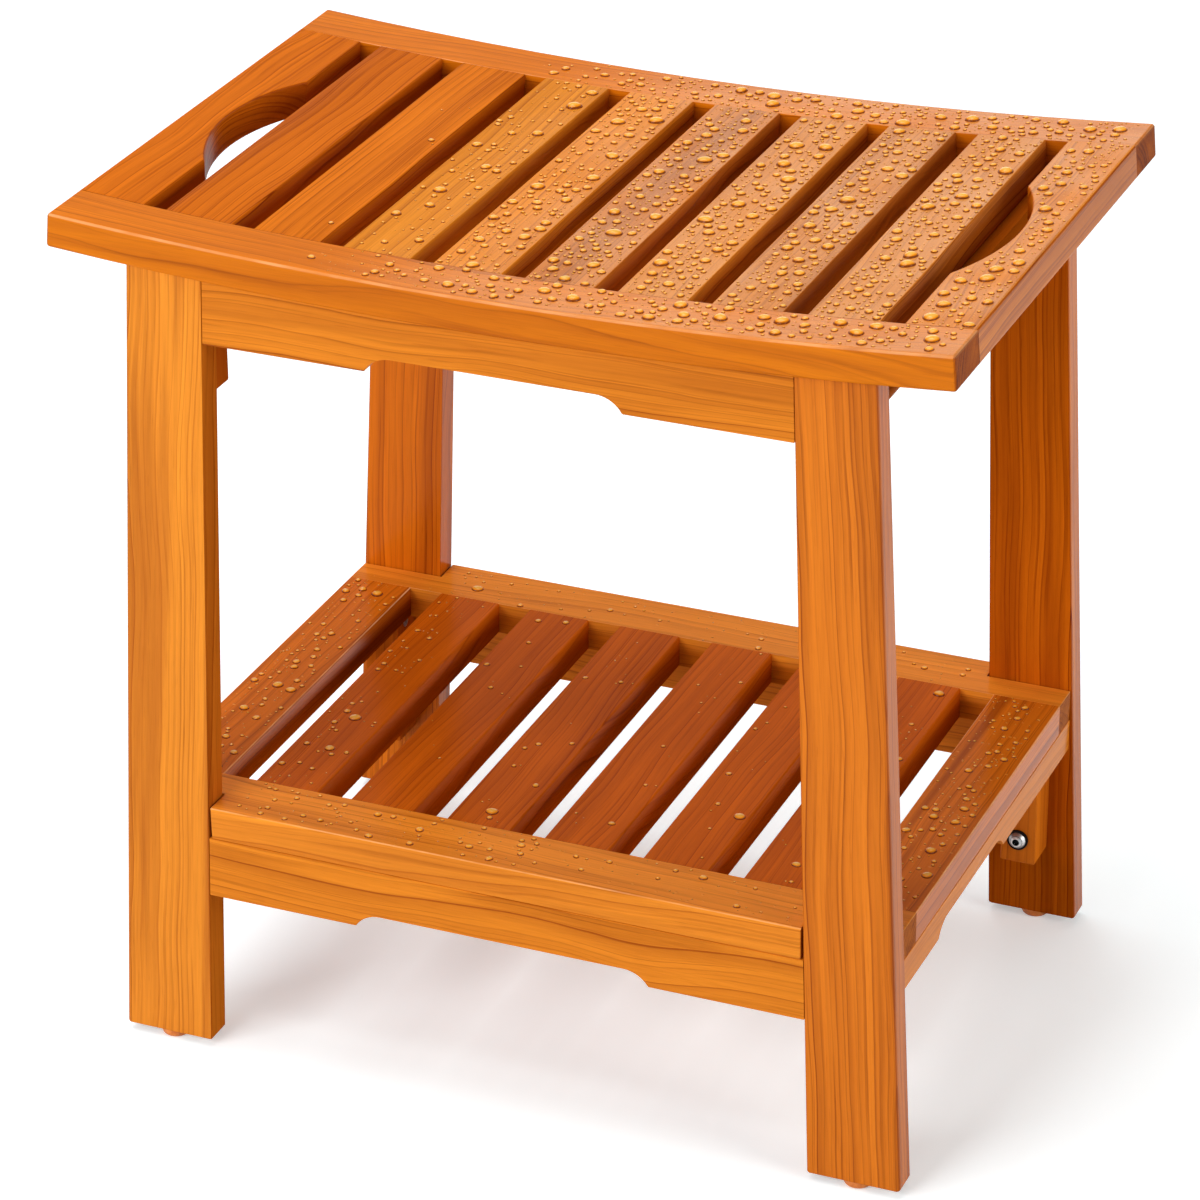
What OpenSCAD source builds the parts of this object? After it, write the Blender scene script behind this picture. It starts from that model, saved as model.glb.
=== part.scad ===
// Wooden shower bench: a dished, slatted seat and a slatted shelf between two glued leg frames.
// X runs along the seat, Y from front to back and Z up from the floor, all in millimetres.
// Left is -X and front is -Y. Most shapes are written once, for the rear right quarter.

/* [Seat] */
// Length of the seat between its upper corners
seat_len = 520; // [490:10:560]
// Depth of the seat from front to back
seat_depth = 356; // [340:2:380]
// Height of the seat's upper corners above the floor
seat_height = 519; // [480:1:560]
// How far the middle of the seat lies below its ends
seat_dip = 11; // [7:0.5:15]
// Thickness of the seat's boards
seat_t = 20; // [18:0.5:24]
// Width of the front and rear boards of the seat
seat_rail_w = 38; // [34:1:42]
// Width of the end boards of the seat
seat_end_w = 40; // [36:1:44]
// Number of slats in the seat
seat_slats = 8; // [6:1:9]
// Gap beside each slat of the seat
seat_slot = 12.8; // [10:0.4:15]
// Rounding of the seat's front and rear edges
seat_round = 2; // [1:0.5:5]
// Rounding of the slats' long edges
slat_round = 1; // [0.5:0.5:3]
// Length of each handle scoop
scoop_len = 134; // [110:2:150]
// Depth of each handle scoop
scoop_depth = 17.5; // [12:0.5:20]

/* [Legs] */
// From the seat's end to the outer edge of a leg at its top
leg_inset = 43.4; // [38:0.2:48]
// How far a leg's outer edge runs outward on its way down
leg_splay = 25; // [15:1:30]
// Width of a leg at its top
leg_top_w = 46; // [44:0.5:50]
// Width of a leg at its foot
leg_foot_w = 55.5; // [50:0.5:62]
// Thickness of a leg
leg_t = 18; // [17:0.5:22]
// How far the legs stand back from the seat's front and rear edges
leg_setback = 7; // [4:0.5:10]

/* [Aprons under the seat] */
// Height of the front and rear aprons beside the legs
apron_h = 40; // [36:1:48]
// Length of the arch cut in an apron, between its tips
apron_arch_len = 150; // [100:2:200]
// Height of the arch cut in an apron
apron_arch_rise = 9; // [5:0.5:11]
// Radius of the rounded ends of every arch
arch_r = 18; // [14:1:24]
// Height of the side aprons
side_apron_h = 19; // [17:0.5:26]
// Thickness of the side aprons
side_apron_t = 18; // [16:0.5:20]

/* [Rails under the shelf] */
// Height of the front and rear rails
rail_h = 38; // [32:1:44]
// Length of the arch cut in a rail, between its tips
rail_arch_len = 180; // [140:2:240]
// Height of the arch cut in a rail
rail_arch_rise = 8.5; // [5:0.5:11]
// Height of the side rails
side_rail_h = 20; // [17:0.5:26]
// Thickness of the side rails
side_rail_t = 11; // [10.5:0.5:13]
// Length of the arch cut in a side rail, between its tips
side_arch_len = 116; // [90:2:130]
// How far the arch of a side rail lies forward of the rail's middle
side_arch_forward = 31; // [0:1:34]
// Height of the arch cut in a side rail
side_arch_rise = 8; // [5:0.5:9]

/* [Shelf] */
// Height of the shelf's upper face above the floor
shelf_z = 162; // [150:1:200]
// Thickness of the shelf's boards
shelf_t = 20; // [18:0.5:24]
// Width of the front and rear boards of the shelf
shelf_rail_w = 40.5; // [38:0.5:46]
// Width of the end boards of the shelf
shelf_end_w = 41.5; // [36:0.5:48]
// Number of slats in the shelf
shelf_slats = 6; // [4:1:7]
// Gap beside each slat of the shelf
shelf_slot = 20.9; // [14:0.1:25]
// How far the shelf's ends stand back from the legs' outer edges
shelf_inset = 0.6; // [0.2:0.2:2]
// Gap between the shelf and the legs that it is notched around
notch_gap = 1; // [0.5:0.1:2]

/* [Corner blocks] */
// Width of an upper block, along the seat
upper_block_w = 25; // [22:0.5:26]
// Depth of an upper block, from front to back
upper_block_d = 15; // [14:0.5:18]
// Height of an upper block
upper_block_h = 75; // [64:1:86]
// Width of a lower block, along the shelf
lower_block_w = 22; // [18:0.5:28]
// Depth of a lower block, from front to back
lower_block_d = 25; // [20:0.5:30]
// Height of a lower block
lower_block_h = 90; // [70:1:100]
// From a block's lower end to its bolt
bolt_edge = 16; // [10:0.5:18]

/* [Tenons] */
// Thickness of every tenon
tenon_t = 8; // [6:0.5:9]
// Length of every tenon
tenon_len = 14; // [8:0.5:16]
// Shoulder on each side of a tenon
tenon_shoulder = 7; // [5:0.5:9]
// Glue gap around tenons, screws and inserts
glue_gap = 0.1; // [0.05:0.05:0.2]

/* [Bolts, inserts and screws] */
// Thread diameter of the bolts and of the feet's studs
bolt_d = 6; // [5:0.5:6.5]
// Diameter of a bolt's head
bolt_head_d = 10.5; // [9.5:0.5:12]
// Height of a bolt's head
bolt_head_h = 3.3; // [2.5:0.1:4]
// Width of the socket in a bolt's head, across its flats
bolt_socket = 4; // [3:0.5:4]
// Depth of the socket in a bolt's head
socket_depth = 2.2; // [1.5:0.1:2.3]
// How far a bolt runs into the leg
bolt_reach = 13.4; // [11:0.2:14]
// Radial clearance of a bolt in its block
bolt_clear = 0.3; // [0.1:0.05:0.5]
// Radial clearance of a thread in its insert
thread_clear = 0.05; // [0.02:0.01:0.1]
// Outer diameter of a washer
washer_d = 13; // [12.5:0.1:15]
// Thickness of a washer
washer_t = 1.6; // [1:0.1:2]
// Outer diameter of a threaded insert
insert_d = 9; // [8:0.5:10]
// Length of a threaded insert
insert_len = 12; // [8:0.5:13]
// Shank diameter of the wood screws
screw_d = 3.5; // [3:0.1:4]
// Head diameter of the wood screws
screw_head_d = 7; // [6:0.1:8]
// Length of a wood screw's point
screw_point = 4; // [2:0.5:5]
// Width of the cross recess in a wood screw's head
recess_w = 0.8; // [0.6:0.1:1.2]
// Depth of the cross recess in a wood screw's head
recess_depth = 1.2; // [0.8:0.1:1.4]
// How far a wood screw bites into the piece that it holds
screw_bite = 9; // [6:0.5:9.5]
// From a wood screw's head to the edge of the narrow board that it goes through
screw_edge = 1.2; // [0.6:0.1:2]
// From the middle of the bench to the screws through an apron
apron_screw_x = 40; // [25:1:48]
// From the middle of the bench to the screws through a rail
rail_screw_x = 50; // [30:1:64]

/* [Feet] */
// Height of a foot pad, screwed fully in
foot_h = 5; // [4:0.5:8]
// Diameter of a foot pad
foot_d = 17; // [12:0.5:17]
// Rounding of a foot pad's lower edge
foot_round = 2.5; // [1:0.25:3]
// How far a foot screws out
foot_travel = 8; // [2:1:10]
// Length of a foot's stud left in its leg when the foot is screwed right out
stud_grip = 16.5; // [12:0.5:24]
// Floor of the pad under its stud
pad_floor = 1.5; // [1:0.25:2]

/* [Hidden] */
$fn = 64;
// Segments drawn on a whole turn of the seat's large curve
seat_fn = 1440;
// Overrun of every cut past the face that it leaves
over = 1;
// Gap between the curved underside of the seat and what carries it
seat_gap = 0.15;
// Colours
seat_color = [0.82, 0.47, 0.20];
slat_color = [0.78, 0.42, 0.18];
frame_color = [0.80, 0.45, 0.17];
shelf_color = [0.70, 0.38, 0.15];
block_color = [0.62, 0.32, 0.14];
steel_color = [0.75, 0.75, 0.77];
brass_color = [0.80, 0.62, 0.28];
washer_color = [0.08, 0.08, 0.09];
pad_color = [0.55, 0.30, 0.10];

// The seat's upper face is part of a cylinder whose axis runs front to back above the bench
seat_r = (pow(seat_len / 2, 2) + pow(seat_dip, 2)) / (2 * seat_dip);
seat_axis_z = seat_height - seat_dip + seat_r;
seat_in_x = seat_len / 2 - seat_end_w;
seat_in_y = seat_depth / 2 - seat_rail_w;
seat_slat_w = (2 * seat_in_x - (seat_slats + 1) * seat_slot) / seat_slats;
scoop_r = (pow(scoop_len / 2, 2) + pow(scoop_depth, 2)) / (2 * scoop_depth);

// Point in front view that lies the depth d under the seat's upper face, square below its point at x
function seat_point(x, d) = [
    (seat_r + d) * x / seat_r,
    seat_axis_z - (seat_r + d) * cos(asin(x / seat_r))
];
// Height at which a piece that carries the seat ends, at the distance x from the middle
function carry_z(x) = seat_axis_z - sqrt(pow(seat_r + seat_t + seat_gap, 2) - x * x);
function seat_slat_x(i) = -seat_in_x + i * seat_slot + (i - 0.5) * seat_slat_w;

// Legs, in front view
leg_top_z = seat_height - seat_t;
leg_top_x = seat_len / 2 - leg_inset;
leg_out_y = seat_depth / 2 - leg_setback;
leg_in_y = leg_out_y - leg_t;
leg_mid_y = leg_out_y - leg_t / 2;
function leg_drop(z) = (leg_top_z - z) / (leg_top_z - foot_h);
function leg_out(z) = leg_top_x + leg_splay * leg_drop(z);
function leg_in(z) = leg_out(z) - leg_top_w - (leg_foot_w - leg_top_w) * leg_drop(z);
foot_x = (leg_in(foot_h) + leg_out(foot_h)) / 2;
stud_len = foot_h - pad_floor + foot_travel + stud_grip;

// Aprons
apron_z = carry_z(leg_in(leg_top_z)) - apron_h;
side_apron_out = leg_top_x;
side_apron_in = side_apron_out - side_apron_t;
side_apron_z = carry_z(side_apron_out) - side_apron_h;

// Shelf and its rails
shelf_under_z = shelf_z - shelf_t;
shelf_out_x = leg_out(shelf_z) - shelf_inset;
shelf_in_x = shelf_out_x - shelf_end_w;
shelf_in_y = leg_out_y - shelf_rail_w;
shelf_slat_w = (2 * shelf_in_x - (shelf_slats + 1) * shelf_slot) / shelf_slats;
function shelf_slat_x(i) = -shelf_in_x + i * shelf_slot + (i - 0.5) * shelf_slat_w;
rail_z = shelf_under_z - rail_h;
side_rail_z = shelf_under_z - side_rail_h;
side_rail_in = shelf_out_x - side_rail_t;

// Corner blocks and their bolts
upper_block_in = side_apron_in - upper_block_w;
upper_block_z = carry_z(upper_block_in) - upper_block_h;
upper_block_y = leg_in_y - upper_block_d;
lower_block_in = side_rail_in - lower_block_w;
lower_block_z = shelf_under_z - lower_block_h;
lower_block_y = leg_in_y - lower_block_d;
upper_bolt_x = upper_block_in + upper_block_w / 2;
lower_bolt_x = lower_block_in + lower_block_w / 2;

// Tenons of the aprons and rails
apron_tenon = [apron_z + tenon_shoulder, carry_z(leg_in(leg_top_z)) - tenon_shoulder];
rail_tenon = [rail_z + tenon_shoulder, shelf_under_z - tenon_shoulder];

// Wood screws
screw_tip_r = screw_d / 12;
screw_sink = (screw_head_d - screw_d) / 2;
side_screw_y = (side_arch_forward + side_arch_len / 2 + lower_block_y) / 2;
seat_screw_x = side_apron_out - screw_head_d / 2 - screw_edge;
seat_screw_y = leg_in_y - screw_head_d / 2 - screw_edge;

SIDES = [-1, 1];
SIDE_NAMES = ["left", "right"];
FACE_NAMES = ["front", "rear"];
function side_name(side) = SIDE_NAMES[side < 0 ? 0 : 1];
function face_name(face) = FACE_NAMES[face < 0 ? 0 : 1];
CORNERS = [for (face = SIDES) for (side = SIDES) [side, face]];
function corner_name(c) = str(face_name(c[1]), "_", side_name(c[0]));

// Placing

// Puts a shape of the rear right quarter into any quarter
module at_corner(side, face) {
    mirror([side < 0 ? 1 : 0, 0, 0]) mirror([0, face < 0 ? 1 : 0, 0]) children();
}

// Puts children on the seat's upper face at the distance x from the middle, tilted with it
module on_seat(x) {
    translate([0, 0, seat_axis_z]) rotate([0, -asin(x / seat_r), 0]) translate([0, 0, -seat_r]) children();
}

// Extrudes a front view from y0 back to y1
module front_view(y0, y1) {
    translate([0, y1, 0]) rotate([90, 0, 0]) linear_extrude(y1 - y0) children();
}

// Extrudes a side view, drawn as y and z, from x0 out to x1
module side_view(x0, x1) {
    translate([x0, 0, 0]) rotate([90, 0, 90]) linear_extrude(x1 - x0) children();
}

// A box between two corners
module box(low, high) {
    translate(low) cube(high - low);
}

// Shared shapes

// Section of a board, w wide about the middle and t thick below zero, with rounded corners
module board_section(w, t, r) {
    translate([-w / 2, r - t]) square([w, t - 2 * r]);
    translate([r - w / 2, -t]) square([w - 2 * r, t]);
    for (x = [r - w / 2, w / 2 - r], z = [-r, r - t]) translate([x, z]) circle(r = r);
}

// Arch cut upward from zero, with its tips at half the length and its ends rounded
module arch(len, rise) {
    flat = len / 2 - sqrt(arch_r * arch_r - pow(arch_r - rise, 2));
    translate([-flat, rise - arch_r]) square([2 * flat, arch_r]);
    for (x = [-flat, flat]) translate([x, rise - arch_r]) circle(r = arch_r);
}

// Slat or its tenon: a board along Y whose ends both reach y
module cross_board(w, t, r, y) {
    rotate([90, 0, 0]) linear_extrude(2 * y, center = true) board_section(w, t, r);
}

// Tenon through the middle of a cross board's thickness t, grown by the gap on every side
module cross_tenon(w, t, y, gap) {
    size = [w - 2 * tenon_shoulder, 2 * (y + tenon_len), tenon_t];
    translate([0, 0, -t / 2]) cube(size + 2 * gap * [1, 1, 1], center = true);
}

// Outside of a countersunk wood screw that points along +Z from its head at zero, grown by the gap
module screw_outline(len, gap) {
    cylinder(h = screw_sink, r1 = screw_head_d / 2 + gap, r2 = screw_d / 2 + gap);
    cylinder(h = len - screw_point, r = screw_d / 2 + gap);
    translate([0, 0, len - screw_point]) cylinder(h = screw_point, r1 = screw_d / 2 + gap, r2 = screw_tip_r);
}

// Wood screw with a cross recess, or its hole, open past the head, when gap is set
module wood_screw(len, gap = 0) {
    if (gap > 0) {
        screw_outline(len, gap);
        translate([0, 0, -over]) cylinder(h = over, r = screw_head_d / 2 + gap);
    } else difference() {
        screw_outline(len, gap);
        for (turn = [0, 90]) rotate(turn) cube([screw_d, recess_w, 2 * recess_depth], center = true);
    }
}

// Corner hardware, written for the rear right quarter and used for the pieces and for their holes

// Screws that hold the seat: one through the side apron and one through the long apron
module seat_screws_here(gap = 0) {
    side_rise = seat_point(seat_screw_x, seat_t)[1] - side_apron_z;
    mid_z = apron_z + apron_arch_rise;
    mid_rise = seat_point(apron_screw_x, seat_t)[1] - mid_z;
    translate([seat_screw_x, seat_screw_y, side_apron_z]) wood_screw(side_rise + screw_bite, gap);
    translate([apron_screw_x, leg_mid_y, mid_z]) wood_screw(mid_rise + screw_bite, gap);
}

// Screws that hold the shelf: one through the side rail and one through the long rail
module shelf_screws_here(gap = 0) {
    side_x = shelf_out_x - side_rail_t / 2;
    mid_z = rail_z + rail_arch_rise;
    translate([side_x, side_screw_y, side_rail_z]) wood_screw(side_rail_h + screw_bite, gap);
    translate([rail_screw_x, leg_mid_y, mid_z]) wood_screw(shelf_under_z - mid_z + screw_bite, gap);
}

// Screw from the upper block into the side apron
module upper_block_screw(gap = 0) {
    z = side_apron_z + side_apron_h / 2;
    translate([upper_block_in, leg_in_y - upper_block_d / 2, z]) rotate([0, 90, 0])
        wood_screw(upper_block_w + screw_bite, gap);
}

// Screw from the lower block into the side rail
module lower_block_screw(gap = 0) {
    z = side_rail_z + side_rail_h / 2;
    translate([lower_block_in, leg_in_y - lower_block_d / 2, z]) rotate([0, 90, 0])
        wood_screw(lower_block_w + screw_bite, gap);
}

// Button-head bolt that points along +Z, with the underside of its head at zero
module bolt(len) {
    dome_r = (pow(bolt_head_d / 2, 2) + pow(bolt_head_h, 2)) / (2 * bolt_head_h);
    cylinder(h = len, r = bolt_d / 2);
    difference() {
        intersection() {
            translate([0, 0, dome_r - bolt_head_h]) sphere(r = dome_r);
            translate([0, 0, -bolt_head_h]) cylinder(h = bolt_head_h, r = bolt_head_d / 2);
        }
        translate([0, 0, -bolt_head_h - over])
            cylinder(h = socket_depth + over, d = bolt_socket / cos(30), $fn = 6);
    }
}

// Puts children at a bolt, with +Z along it towards the leg and zero on the block's face
module at_bolt(x, y, z) {
    translate([x, y, z]) rotate([-90, 0, 0]) children();
}

module at_upper_bolt() {
    at_bolt(upper_bolt_x, upper_block_y, upper_block_z + bolt_edge) children();
}

module at_lower_bolt() {
    at_bolt(lower_bolt_x, lower_block_y, lower_block_z + bolt_edge) children();
}

module bolt_hole(depth) {
    translate([0, 0, -over]) cylinder(h = depth + 2 * over, r = bolt_d / 2 + bolt_clear);
}

module washer() {
    translate([0, 0, -washer_t]) difference() {
        cylinder(h = washer_t, r = washer_d / 2);
        translate([0, 0, -over]) cylinder(h = washer_t + 2 * over, r = bolt_d / 2 + bolt_clear);
    }
}

// Threaded insert whose mouth is at zero and which reaches up along +Z
module insert() {
    difference() {
        cylinder(h = insert_len, r = insert_d / 2);
        translate([0, 0, -over]) cylinder(h = insert_len + 2 * over, r = bolt_d / 2 + thread_clear);
    }
}

// Hole for an insert, with room past it for the thread that it holds
module insert_hole(depth) {
    translate([0, 0, -over]) cylinder(h = insert_len + glue_gap + over, r = insert_d / 2 + glue_gap);
    cylinder(h = depth, r = bolt_d / 2 + bolt_clear);
}

// Seat

// Rear board of the seat: swept along the dish, rounded at its outer edges, mortised for the cross boards
module seat_rail() {
    half = asin(seat_len / 2 / seat_r);
    low = seat_r + seat_t;
    out_y = seat_depth / 2;
    color(seat_color) difference() {
        translate([0, 0, seat_axis_z]) rotate([-90, 0, 0]) rotate(90 - half)
            rotate_extrude(angle = 2 * half, $fn = seat_fn) {
                translate([seat_r, seat_in_y]) square([seat_t, seat_rail_w - seat_round]);
                translate([seat_r + seat_round, seat_in_y]) square([seat_t - 2 * seat_round, seat_rail_w]);
                for (r = [seat_r + seat_round, low - seat_round]) translate([r, out_y - seat_round])
                    circle(r = seat_round);
            }
        for (i = [1:seat_slats]) on_seat(seat_slat_x(i)) cross_tenon(seat_slat_w, seat_t, seat_in_y, glue_gap);
        for (side = SIDES) mirror([side < 0 ? 1 : 0, 0, 0]) {
            on_seat(seat_len / 2 - seat_end_w / 2) cross_tenon(seat_end_w, seat_t, seat_in_y, glue_gap);
            seat_screws_here(glue_gap);
        }
    }
}

// Right end board of the seat, with its handle scoop in the inner edge
module seat_end_board() {
    half = seat_len / 2;
    color(seat_color) {
        difference() {
            front_view(-seat_in_y, seat_in_y) polygon([
                seat_point(seat_in_x, 0),
                seat_point(half, 0),
                seat_point(half, seat_t),
                seat_point(seat_in_x, seat_t)
            ]);
            translate([seat_in_x + scoop_depth - scoop_r, 0, leg_top_z - seat_t])
                cylinder(h = 3 * seat_t, r = scoop_r, $fn = 256);
        }
        for (face = SIDES) mirror([0, face < 0 ? 1 : 0, 0]) intersection() {
            on_seat(half - seat_end_w / 2) cross_tenon(seat_end_w, seat_t, seat_in_y, 0);
            box([0, seat_in_y, 0], [seat_len, seat_depth, seat_height + seat_t]);
        }
    }
}

module seat_slat(i) {
    color(slat_color) on_seat(seat_slat_x(i)) {
        cross_board(seat_slat_w, seat_t, slat_round, seat_in_y);
        cross_tenon(seat_slat_w, seat_t, seat_in_y, 0);
    }
}

// Leg frames

// Rear right leg, a tapered board that splays outward
module leg() {
    top_out_z = carry_z(leg_top_x);
    top_in_z = carry_z(leg_in(leg_top_z));
    color(frame_color) difference() {
        front_view(leg_in_y, leg_out_y) polygon([
            [leg_in(foot_h), foot_h],
            [leg_out(foot_h), foot_h],
            [leg_out(top_out_z), top_out_z],
            [leg_in(top_in_z), top_in_z]
        ]);
        frame_tenon(apron_tenon, glue_gap);
        frame_tenon(rail_tenon, glue_gap);
        at_upper_bolt() translate([0, 0, upper_block_d]) insert_hole(bolt_reach + glue_gap);
        at_lower_bolt() translate([0, 0, lower_block_d]) insert_hole(bolt_reach + glue_gap);
        translate([foot_x, leg_mid_y, foot_h]) insert_hole(stud_len);
    }
}

// Tenon from an apron or rail into the rear right leg, between the two heights in span
module frame_tenon(span, gap) {
    root_x = leg_in(span[1]) - tenon_t;
    end_x = leg_in(span[1]) + tenon_len;
    box([root_x, leg_mid_y - tenon_t / 2 - gap, span[0] - gap],
        [end_x + gap, leg_mid_y + tenon_t / 2 + gap, span[1] + gap]);
}

// Board between two legs of a frame, from z0 to z1, with shoulders cut to the legs' slope
module frame_board(z0, z1, span, arch_len, arch_rise) {
    front_view(leg_in_y, leg_out_y) difference() {
        polygon([[-leg_in(z0), z0], [leg_in(z0), z0], [leg_in(z1), z1], [-leg_in(z1), z1]]);
        translate([0, z0]) arch(arch_len, arch_rise);
    }
    for (side = SIDES) mirror([side < 0 ? 1 : 0, 0, 0]) frame_tenon(span, 0);
}

// Rear apron, whose upper edge follows the underside of the seat
module apron() {
    color(frame_color) difference() {
        frame_board(apron_z, leg_top_z, apron_tenon, apron_arch_len, apron_arch_rise);
        translate([0, leg_mid_y, seat_axis_z]) rotate([90, 0, 0])
            cylinder(h = 2 * leg_t, r = seat_r + seat_t + seat_gap, center = true, $fn = seat_fn);
        for (side = SIDES) mirror([side < 0 ? 1 : 0, 0, 0]) seat_screws_here(glue_gap);
    }
}

// Rear rail, which carries the shelf
module rail() {
    color(frame_color) difference() {
        frame_board(rail_z, shelf_under_z, rail_tenon, rail_arch_len, rail_arch_rise);
        for (side = SIDES) mirror([side < 0 ? 1 : 0, 0, 0]) shelf_screws_here(glue_gap);
    }
}

// Right apron under the seat's end, its upper face sloped to the seat
module side_apron() {
    top_in_z = carry_z(side_apron_in);
    top_out_z = carry_z(side_apron_out);
    color(frame_color) difference() {
        front_view(-leg_in_y, leg_in_y) polygon([
            [side_apron_in, side_apron_z],
            [side_apron_out, side_apron_z],
            [side_apron_out, top_out_z],
            [side_apron_in, top_in_z]
        ]);
        for (face = SIDES) mirror([0, face < 0 ? 1 : 0, 0]) {
            seat_screws_here(glue_gap);
            upper_block_screw(glue_gap);
        }
    }
}

// Right rail under the shelf's end, arched along its lower edge
module side_rail() {
    color(frame_color) difference() {
        side_view(side_rail_in, shelf_out_x) difference() {
            translate([-leg_in_y, side_rail_z]) square([2 * leg_in_y, side_rail_h]);
            translate([-side_arch_forward, side_rail_z]) arch(side_arch_len, side_arch_rise);
        }
        for (face = SIDES) mirror([0, face < 0 ? 1 : 0, 0]) {
            shelf_screws_here(glue_gap);
            lower_block_screw(glue_gap);
        }
    }
}

// Rear right block between the seat and the upper end of the leg
module upper_block() {
    color(block_color) difference() {
        front_view(upper_block_y, leg_in_y) polygon([
            [upper_block_in, upper_block_z],
            [side_apron_in, upper_block_z],
            [side_apron_in, carry_z(side_apron_in)],
            [upper_block_in, carry_z(upper_block_in)]
        ]);
        at_upper_bolt() bolt_hole(upper_block_d);
        upper_block_screw(glue_gap);
    }
}

// Rear right block between the shelf and the lower end of the leg
module lower_block() {
    color(block_color) difference() {
        box([lower_block_in, lower_block_y, lower_block_z], [side_rail_in, leg_in_y, shelf_under_z]);
        at_lower_bolt() bolt_hole(lower_block_d);
        lower_block_screw(glue_gap);
    }
}

// Shelf

// Rear board of the shelf, notched around both legs
module shelf_board() {
    notch_x = leg_in(shelf_z) - notch_gap;
    notch_y = leg_in_y - notch_gap;
    color(shelf_color) difference() {
        side_view(-shelf_out_x, shelf_out_x) translate([0, shelf_z]) difference() {
            translate([shelf_in_y, -shelf_t]) square([shelf_rail_w, shelf_t]);
            translate([leg_out_y - slat_round, -slat_round]) difference() {
                square(slat_round + over);
                circle(r = slat_round);
            }
        }
        for (side = SIDES) mirror([side < 0 ? 1 : 0, 0, 0]) {
            box([notch_x, notch_y, shelf_under_z - over], [seat_len, seat_depth, shelf_z + over]);
            translate([(shelf_in_x + shelf_out_x) / 2, 0, shelf_z])
                cross_tenon(shelf_end_w, shelf_t, shelf_in_y, glue_gap);
            shelf_screws_here(glue_gap);
        }
        for (i = [1:shelf_slats]) translate([shelf_slat_x(i), 0, shelf_z])
            cross_tenon(shelf_slat_w, shelf_t, shelf_in_y, glue_gap);
    }
}

// Right end board of the shelf
module shelf_end_board() {
    color(shelf_color) translate([(shelf_in_x + shelf_out_x) / 2, 0, shelf_z]) difference() {
        union() {
            cross_board(shelf_end_w, shelf_t, slat_round, shelf_in_y);
            cross_tenon(shelf_end_w, shelf_t, shelf_in_y, 0);
        }
        translate([-(shelf_in_x + shelf_out_x) / 2, 0, -shelf_z]) for (face = SIDES)
            mirror([0, face < 0 ? 1 : 0, 0]) shelf_screws_here(glue_gap);
    }
}

module shelf_slat(i) {
    color(shelf_color) translate([shelf_slat_x(i), 0, shelf_z]) {
        cross_board(shelf_slat_w, shelf_t, slat_round, shelf_in_y);
        cross_tenon(shelf_slat_w, shelf_t, shelf_in_y, 0);
    }
}

// Hardware

module upper_bolts() {
    color(steel_color) for (c = CORNERS) at_corner(c[0], c[1]) at_upper_bolt()
        translate([0, 0, -washer_t]) bolt(washer_t + upper_block_d + bolt_reach);
}

module lower_bolts() {
    color(steel_color) for (c = CORNERS) at_corner(c[0], c[1]) at_lower_bolt()
        translate([0, 0, -washer_t]) bolt(washer_t + lower_block_d + bolt_reach);
}

module bolt_washers() {
    color(washer_color) for (c = CORNERS) at_corner(c[0], c[1]) {
        at_upper_bolt() washer();
        at_lower_bolt() washer();
    }
}

module threaded_inserts() {
    color(brass_color) for (c = CORNERS) at_corner(c[0], c[1]) {
        at_upper_bolt() translate([0, 0, upper_block_d]) insert();
        at_lower_bolt() translate([0, 0, lower_block_d]) insert();
        translate([foot_x, leg_mid_y, foot_h]) insert();
    }
}

module seat_screws() {
    color(steel_color) for (c = CORNERS) at_corner(c[0], c[1]) seat_screws_here();
}

module shelf_screws() {
    color(steel_color) for (c = CORNERS) at_corner(c[0], c[1]) shelf_screws_here();
}

module block_screws() {
    color(steel_color) for (c = CORNERS) at_corner(c[0], c[1]) {
        upper_block_screw();
        lower_block_screw();
    }
}

// Foot pad of the rear right leg: a flat base, a rounded edge and a socket for the stud
module foot_pad() {
    color(pad_color) translate([foot_x, leg_mid_y, 0]) difference() {
        rotate_extrude() {
            square([foot_d / 2 - foot_round, foot_h]);
            translate([0, foot_round]) square([foot_d / 2, foot_h - foot_round]);
            translate([foot_d / 2 - foot_round, foot_round]) circle(r = foot_round);
        }
        translate([0, 0, pad_floor]) cylinder(h = foot_h, r = bolt_d / 2 + thread_clear);
    }
}

module foot_stud() {
    color(steel_color) translate([foot_x, leg_mid_y, pad_floor]) cylinder(h = stud_len, r = bolt_d / 2);
}

// What is drawn

at_corner(1, -1) seat_rail();  // seat_front_rail
seat_rail();  // seat_rear_rail
at_corner(1, -1) apron();  // front_apron
apron();  // rear_apron
at_corner(1, -1) rail();  // front_rail
rail();  // rear_rail
at_corner(1, -1) shelf_board();  // shelf_front_board
shelf_board();  // shelf_rear_board
for (side = SIDES) {
    at_corner(side, 1) seat_end_board();
    at_corner(side, 1) side_apron();
    at_corner(side, 1) side_rail();
    at_corner(side, 1) shelf_end_board();
}
for (i = [1:seat_slats]) {
    seat_slat(i);
}
for (i = [1:shelf_slats]) {
    shelf_slat(i);
}
for (c = CORNERS) {
    at_corner(c[0], c[1]) leg();
    at_corner(c[0], c[1]) upper_block();
    at_corner(c[0], c[1]) lower_block();
    at_corner(c[0], c[1]) foot_pad();
    at_corner(c[0], c[1]) foot_stud();
}
upper_bolts();
lower_bolts();
bolt_washers();
threaded_inserts();
seat_screws();
shelf_screws();
block_screws();
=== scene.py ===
"""Looks of the wooden shower bench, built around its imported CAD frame.

Every teak board keeps its CAD solid, gets rounded edges and takes its grain from its own place in
a log. Water beads lie on the seat and on the shelf as pieces of their own. Lengths are in metres
unless a name says that they are in millimetres.
"""

import logging
import math
import random
from dataclasses import astuple, dataclass, field, replace
from enum import Enum
from typing import Callable, Sequence

import bpy
from mathutils import Euler, Matrix, Vector


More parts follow.
